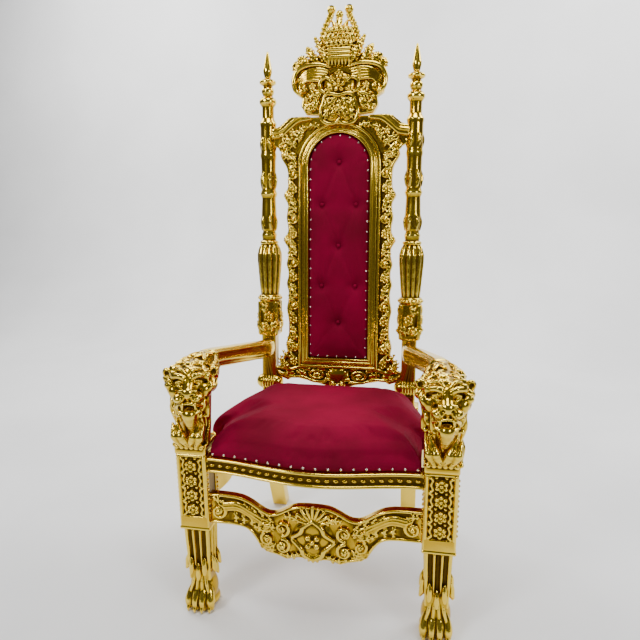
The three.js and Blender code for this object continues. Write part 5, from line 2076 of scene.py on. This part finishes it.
@dataclass
class BackPost:
    """A post: ribbed scroll, square foot, carved bracket, fluted urn, ringed shaft and turned finial."""

    gilding: Material
    axis: float = 248.0
    cell: float = 2.3
    triangles: int = 58000
    profile: tuple = (
        (22, 1074), (27, 1100), (22, 1112), (24, 1120), (26.5, 1165), (24, 1226), (29.5, 1240), (24, 1256),
        (25.5, 1354),
        (28.5, 1368), (26, 1380), (26.5, 1462), (29, 1474), (20, 1490), (20, 1528), (29, 1540), (29, 1550),
        (15, 1564),
        (21, 1574), (21, 1584), (14, 1596), (28, 1604), (28, 1611), (10, 1622), (15, 1640), (15, 1650),
        (7, 1690), (3, 1707),
    )

    def carve(self) -> Surface:
        """Carves the right post upright about its own axis."""
        wood = Ornament((-52, -62, 500), (52, 60, 1716), self.cell)
        wood.slab((-25, -25, 511), (25, 25, 750), 3)
        wood.turned((0, 0), self.profile)
        self._foot(wood)
        self._bracket(wood)
        self._urn(wood)
        self._shaft(wood)
        wood.trim(2, 511.0, above=False)
        return wood.surface(self.triangles)

    @staticmethod
    def _foot(wood: Ornament) -> None:
        """The ribbed volute in front of the foot."""
        wood.stroke([[-23, -10, 574], [23, -10, 574]], 26, 1)
        for x in (-19, -9.5, 0, 9.5, 19):
            angle = np.linspace(0, 2 * math.pi, 26)
            ring = np.column_stack([np.full(26, x), -10 + 26 * np.cos(angle), 574 + 26 * np.sin(angle)])
            wood.stroke(ring, 3.6, 0.8)
        for hand in (-1, 1):
            cheek = Face((hand * 24, 0, 0), (0, hand, 0))
            wood.scroll(cheek, (-10 * hand, 574), 20, 90, 1.5, 3.4, 0)

    @staticmethod
    def _bracket(wood: Ornament) -> None:
        """The block above the arm, with a scroll, a flower and leaves on its front and sides."""
        wood.slab((-34, -32, 745), (34, 34, 868), 4)
        for turn in (0, 1, 3):
            face = Face.quarter(turn, 33)
            wood.scroll(face, (12, 776), 17, 200, -1.4, 5.5, 2)
            wood.rosette(face, (-4, 814), 18, 6, 4)
            wood.leaves(
                face,
                ([[-14, 762], [-22, 784], [-10, 806]], 13, 4, 5, 2, 4),
                ([[4, 828], [12, 846], [2, 864]], 14, 4, 5, 2, 4),
            )
            for hand in (-1, 1):
                wood.stroke(face.at([[hand * 29, 752, 0], [hand * 29, 864, 0]]), 3.6, 1)
        wood.turned((0, 2), [(36, 866), (40, 872), (40, 884), (37, 890)])
        for angle in np.linspace(0, 2 * math.pi, 20, endpoint=False):
            wood.ball((39 * math.cos(angle), 2 + 39 * math.sin(angle), 878), 5.4, 0.6)

    @staticmethod
    def _urn(wood: Ornament) -> None:
        """The urn: a swelling with rounded lobes."""
        profile = [(31, 886), (35, 912), (39, 960), (43, 1010), (43, 1034), (37, 1056), (27, 1072),
                   (22, 1084)]
        wood.turned((0, 2), profile, 12, 6.5)
        wood.turned((0, 0), [(24, 1066), (32, 1070), (32, 1078), (24, 1082)])

    @staticmethod
    def _shaft(wood: Ornament) -> None:
        """Leaves round the shaft between its rings."""
        for low, high in ((1118, 1170), (1262, 1312), (1386, 1432)):
            for angle in np.linspace(0, 2 * math.pi, 6, endpoint=False):
                way = np.array([math.cos(angle), math.sin(angle), 0])
                aside = np.array([-math.sin(angle), math.cos(angle), 0])
                base = way * 23.5
                path = [base + [0, 0, low], base + way * 3 + aside * 4 + [0, 0, (low + high) / 2],
                        base + way + [0, 0, high]]
                wood.stroke(flowing(path, 8), [4, 6, 1.6], 1.0)

    def build(self) -> None:
        """Both posts."""
        place = [self.axis, 0, 0]
        carved_pair("back_post", self.carve(), self.gilding, lambda points: lean_back(points + place))


# ---------------------------------------------------------------- upholstery pieces
@dataclass
class Upholstery:
    """The seat cushion, the tufted back pad with its buttons, the rear cover and all the nails."""

    velvet: Material
    nail_metal: Material
    dust_cloth: Material
    rows: tuple = (1342, 1202, 1064, 926, 798)
    offset: float = 58.0
    seat_nails: int = 18
    panel_pitch: float = 33.5

    @property
    def buttons(self) -> list[tuple[float, float]]:
        """Centres of the buttons, one and two by turns down the panel."""
        places = []
        for row, z in enumerate(self.rows):
            places += [(-self.offset, z), (self.offset, z)] if row % 2 else [(0.0, z)]
        return places

    def build(self) -> None:
        """All the upholstery."""
        self._cushion()
        self._pad()
        self._buttons()
        self._cover()
        self._seat_nails()
        self._panel_nails()

    @staticmethod
    def _seat_outline(count: int = 30) -> Array:
        """The cushion's outline seen from above, all round."""
        x = np.linspace(-SEAT_REACH, SEAT_REACH, count)
        front = np.column_stack([x, bow(x * RAIL_REACH / SEAT_REACH) + 5])
        side = flowing([[SEAT_REACH, -149], [346, -147], [334, -60], [304, 40], [270, 140], [236, 163]], 26)
        return np.vstack([front, side, (side * [-1, 1])[::-1]])

    def _cushion(self) -> None:
        """The seat cushion: crowned, tight over its front edge and flat below."""
        base = Span.of("seat_cushion").low[2]
        outline = self._seat_outline()
        middle = np.array([0.0, -60.0])
        profile = [(0.45, 0), (0.85, 0), (0.985, 0), (0.992, 2), (0.992, 14), (0.990, 30), (0.982, 44),
                   (0.955, 60),
                   (0.90, 73), (0.80, 84), (0.62, 92), (0.40, 96), (0.18, 98)]
        rings = [np.column_stack([middle + (outline - middle) * share, np.full(len(outline), base + height)])
                 for share, height in profile]
        mesh = closed_mesh("seat_cushion", np.array(rings))
        stuffing = Stuffing(voxel=6.0, cap=12.0)
        mesh = stuffing.swell(mesh, lambda points: points[:, 2] < base + 18)
        points = corners_of(mesh)
        points[:, 2] = np.minimum(points[:, 2], base + 108)
        set_corners(mesh, points)
        piece = Piece("seat_cushion_padded", mesh, self.velvet, Slot.VELVET).stands_for("seat_cushion")

    def _pad(self) -> None:
        """The back pad: swollen between its buttons, with folds running from one to the next."""
        half, bottom, springing = PANEL
        wood = Carving((-112, -34, bottom - 10), (112, 18, springing + half + 10), 3.0)
        wood.board(arch(half - 1.2, bottom + 1.2, springing, 60), -19.0, 11.0, 9)
        mesh = mesh_of("back_pad", *wood.skin())
        places = np.array(self.buttons)

        def held(corners: Array) -> Array:
            """The back, the rim and the spots under the buttons stay put."""
            near = np.hypot(*(corners[:, None, [0, 2]] - places[None]).transpose(2, 0, 1)).min(1)
            return (corners[:, 1] > -9) | ((near < 9) & (corners[:, 1] < 0))

        mesh = Stuffing(voxel=6.0, cap=8.0).swell(mesh, held)
        points = corners_of(mesh)
        sunk = np.zeros(len(points))
        for x, z in places:
            away = np.hypot(points[:, 0] - x, points[:, 2] - z)
            sunk = np.maximum(sunk, 13.0 * np.exp(-((away / 19) ** 1.5)))
        for one, two in self._folds():
            run = np.subtract(two, one)
            offset = points[:, [0, 2]] - one
            t = np.clip(offset @ run / (run @ run), 0, 1)
            away = np.hypot(*(offset - t[:, None] * run).T)
            sunk = np.maximum(sunk, (3.0 + 2.0 * np.cos(2 * math.pi * t)) * np.exp(-((away / 5.0) ** 2)))
        front = np.clip((-points[:, 1] - 12) / 6, 0, 1)
        points[:, 1] += sunk * front
        set_corners(mesh, lean_back(points))
        mesh = smooth_once(mesh)
        piece = Piece("back_pad_padded", mesh, self.velvet, Slot.VELVET).stands_for("back_pad")

    def _folds(self) -> list[tuple[tuple[float, float], tuple[float, float]]]:
        """The folds: from each button to those of the next row, and out to the rim."""
        places = self.buttons
        folds = [
            (one, two) for one in places for two in places
            if 0 < one[1] - two[1] < 160 and 0 < abs(one[0] - two[0]) < 70
        ]
        folds += [((x, z), (math.copysign(104, x), z)) for x, z in places if x]
        return folds

    def _buttons(self) -> None:
        """Small covered buttons in the pad's dimples."""
        for number, (x, z) in enumerate(self.buttons, 1):
            head = dome(f"button_{number}", 6.8, 3.6, 2.0, 20)
            points = corners_of(head)
            upright = np.column_stack([points[:, 0] + x, -14.5 - points[:, 2], points[:, 1] + z])
            set_corners(head, lean_back(upright))
            head.update()
            node = f"button_{number}"
            Piece(node + "_covered", head, self.velvet, Slot.VELVET).stands_for(node)

    def _cover(self) -> None:
        """The cloth that closes the back, softly puffed over a thin wadding."""
        half, bottom, springing = PANEL
        middle = np.array([0.0, (bottom + springing + half) / 2])
        rings = []
        for share, depth in ((0.5, 19.4), (1.0, 19.4), (1.0, 22.0), (0.99, 24.0), (0.96, 25.6),
                             (0.85, 27.0), (0.6, 28.2), (0.3, 28.8)):
            edge = middle + (arch(half + 17.5, bottom - 17.5, springing, 46) - middle) * share
            rings.append(np.column_stack([edge[:, 0], np.full(len(edge), depth), edge[:, 1]]))
        shape = np.array(rings)
        leaned = lean_back(shape.reshape(-1, 3)).reshape(shape.shape)
        mesh = closed_mesh("back_cover", leaned)
        piece = Piece("back_cover_cloth", mesh, self.dust_cloth, Slot.DUST_CLOTH).stands_for("back_cover")

    def _seat_nails(self) -> None:
        """Nails along the front of the seat, just above the rail."""
        base = Span.of("seat_cushion").low[2]
        x = np.linspace(-290, 290, self.seat_nails)
        stretched = x * RAIL_REACH / SEAT_REACH
        places = np.column_stack([x, bow(stretched) + 6.6, np.full_like(x, base + 8)])
        head = dome("seat_nail", 4.0, 2.8)
        Studs("seat_nails", places, bow_outward(stretched), head, self.nail_metal, Slot.GILT).build()

    def _panel_nails(self) -> None:
        """Nails all round the back panel, close to its edge."""
        half, bottom, springing = PANEL
        edge = arch(half - 7, bottom + 7, springing, 120)
        loop = np.vstack([edge, edge[:1]])
        along = walked(loop)
        count = round(along[-1] / self.panel_pitch)
        at = np.arange(count) * along[-1] / count
        x, z = (np.interp(at, along, loop[:, k]) for k in (0, 1))
        upright = np.column_stack([x, np.full(count, -16.5), z])
        places = lean_back(upright)
        outward = lean_back(upright + [0, -1, 0]) - places
        head = dome("panel_nail", 3.3, 2.4)
        Studs("panel_nails", places, outward, head, self.nail_metal, Slot.GILT, 0.06, 23).build()


def smooth_once(mesh: Mesh) -> Mesh:
    """The same mesh with one level of subdivision."""
    holder = put("smoothing", mesh)
    level = holder.modifiers.new("smooth", "SUBSURF")
    level.levels = level.render_levels = 1
    finer = evaluated(holder)
    bpy.data.objects.remove(holder)
    bpy.data.meshes.remove(mesh)
    return finer


def main() -> None:
    """Builds the throne and its studio."""
    logging.basicConfig(level=logging.INFO, format="%(message)s")
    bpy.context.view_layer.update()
    gilding = Gilt().make()
    Studio().build()
    FrontLeg(gilding).build()
    LionHead(gilding).build()
    Arm(gilding).build()
    SeatFrame(gilding).build()
    Apron(gilding).build()
    BackPost(gilding).build()
    BackFrame(gilding).build()
    Crest(gilding).build()
    Upholstery(Velvet().make(), NailMetal().make(), DustCloth().make()).build()


if __name__ == "__main__":
    main()
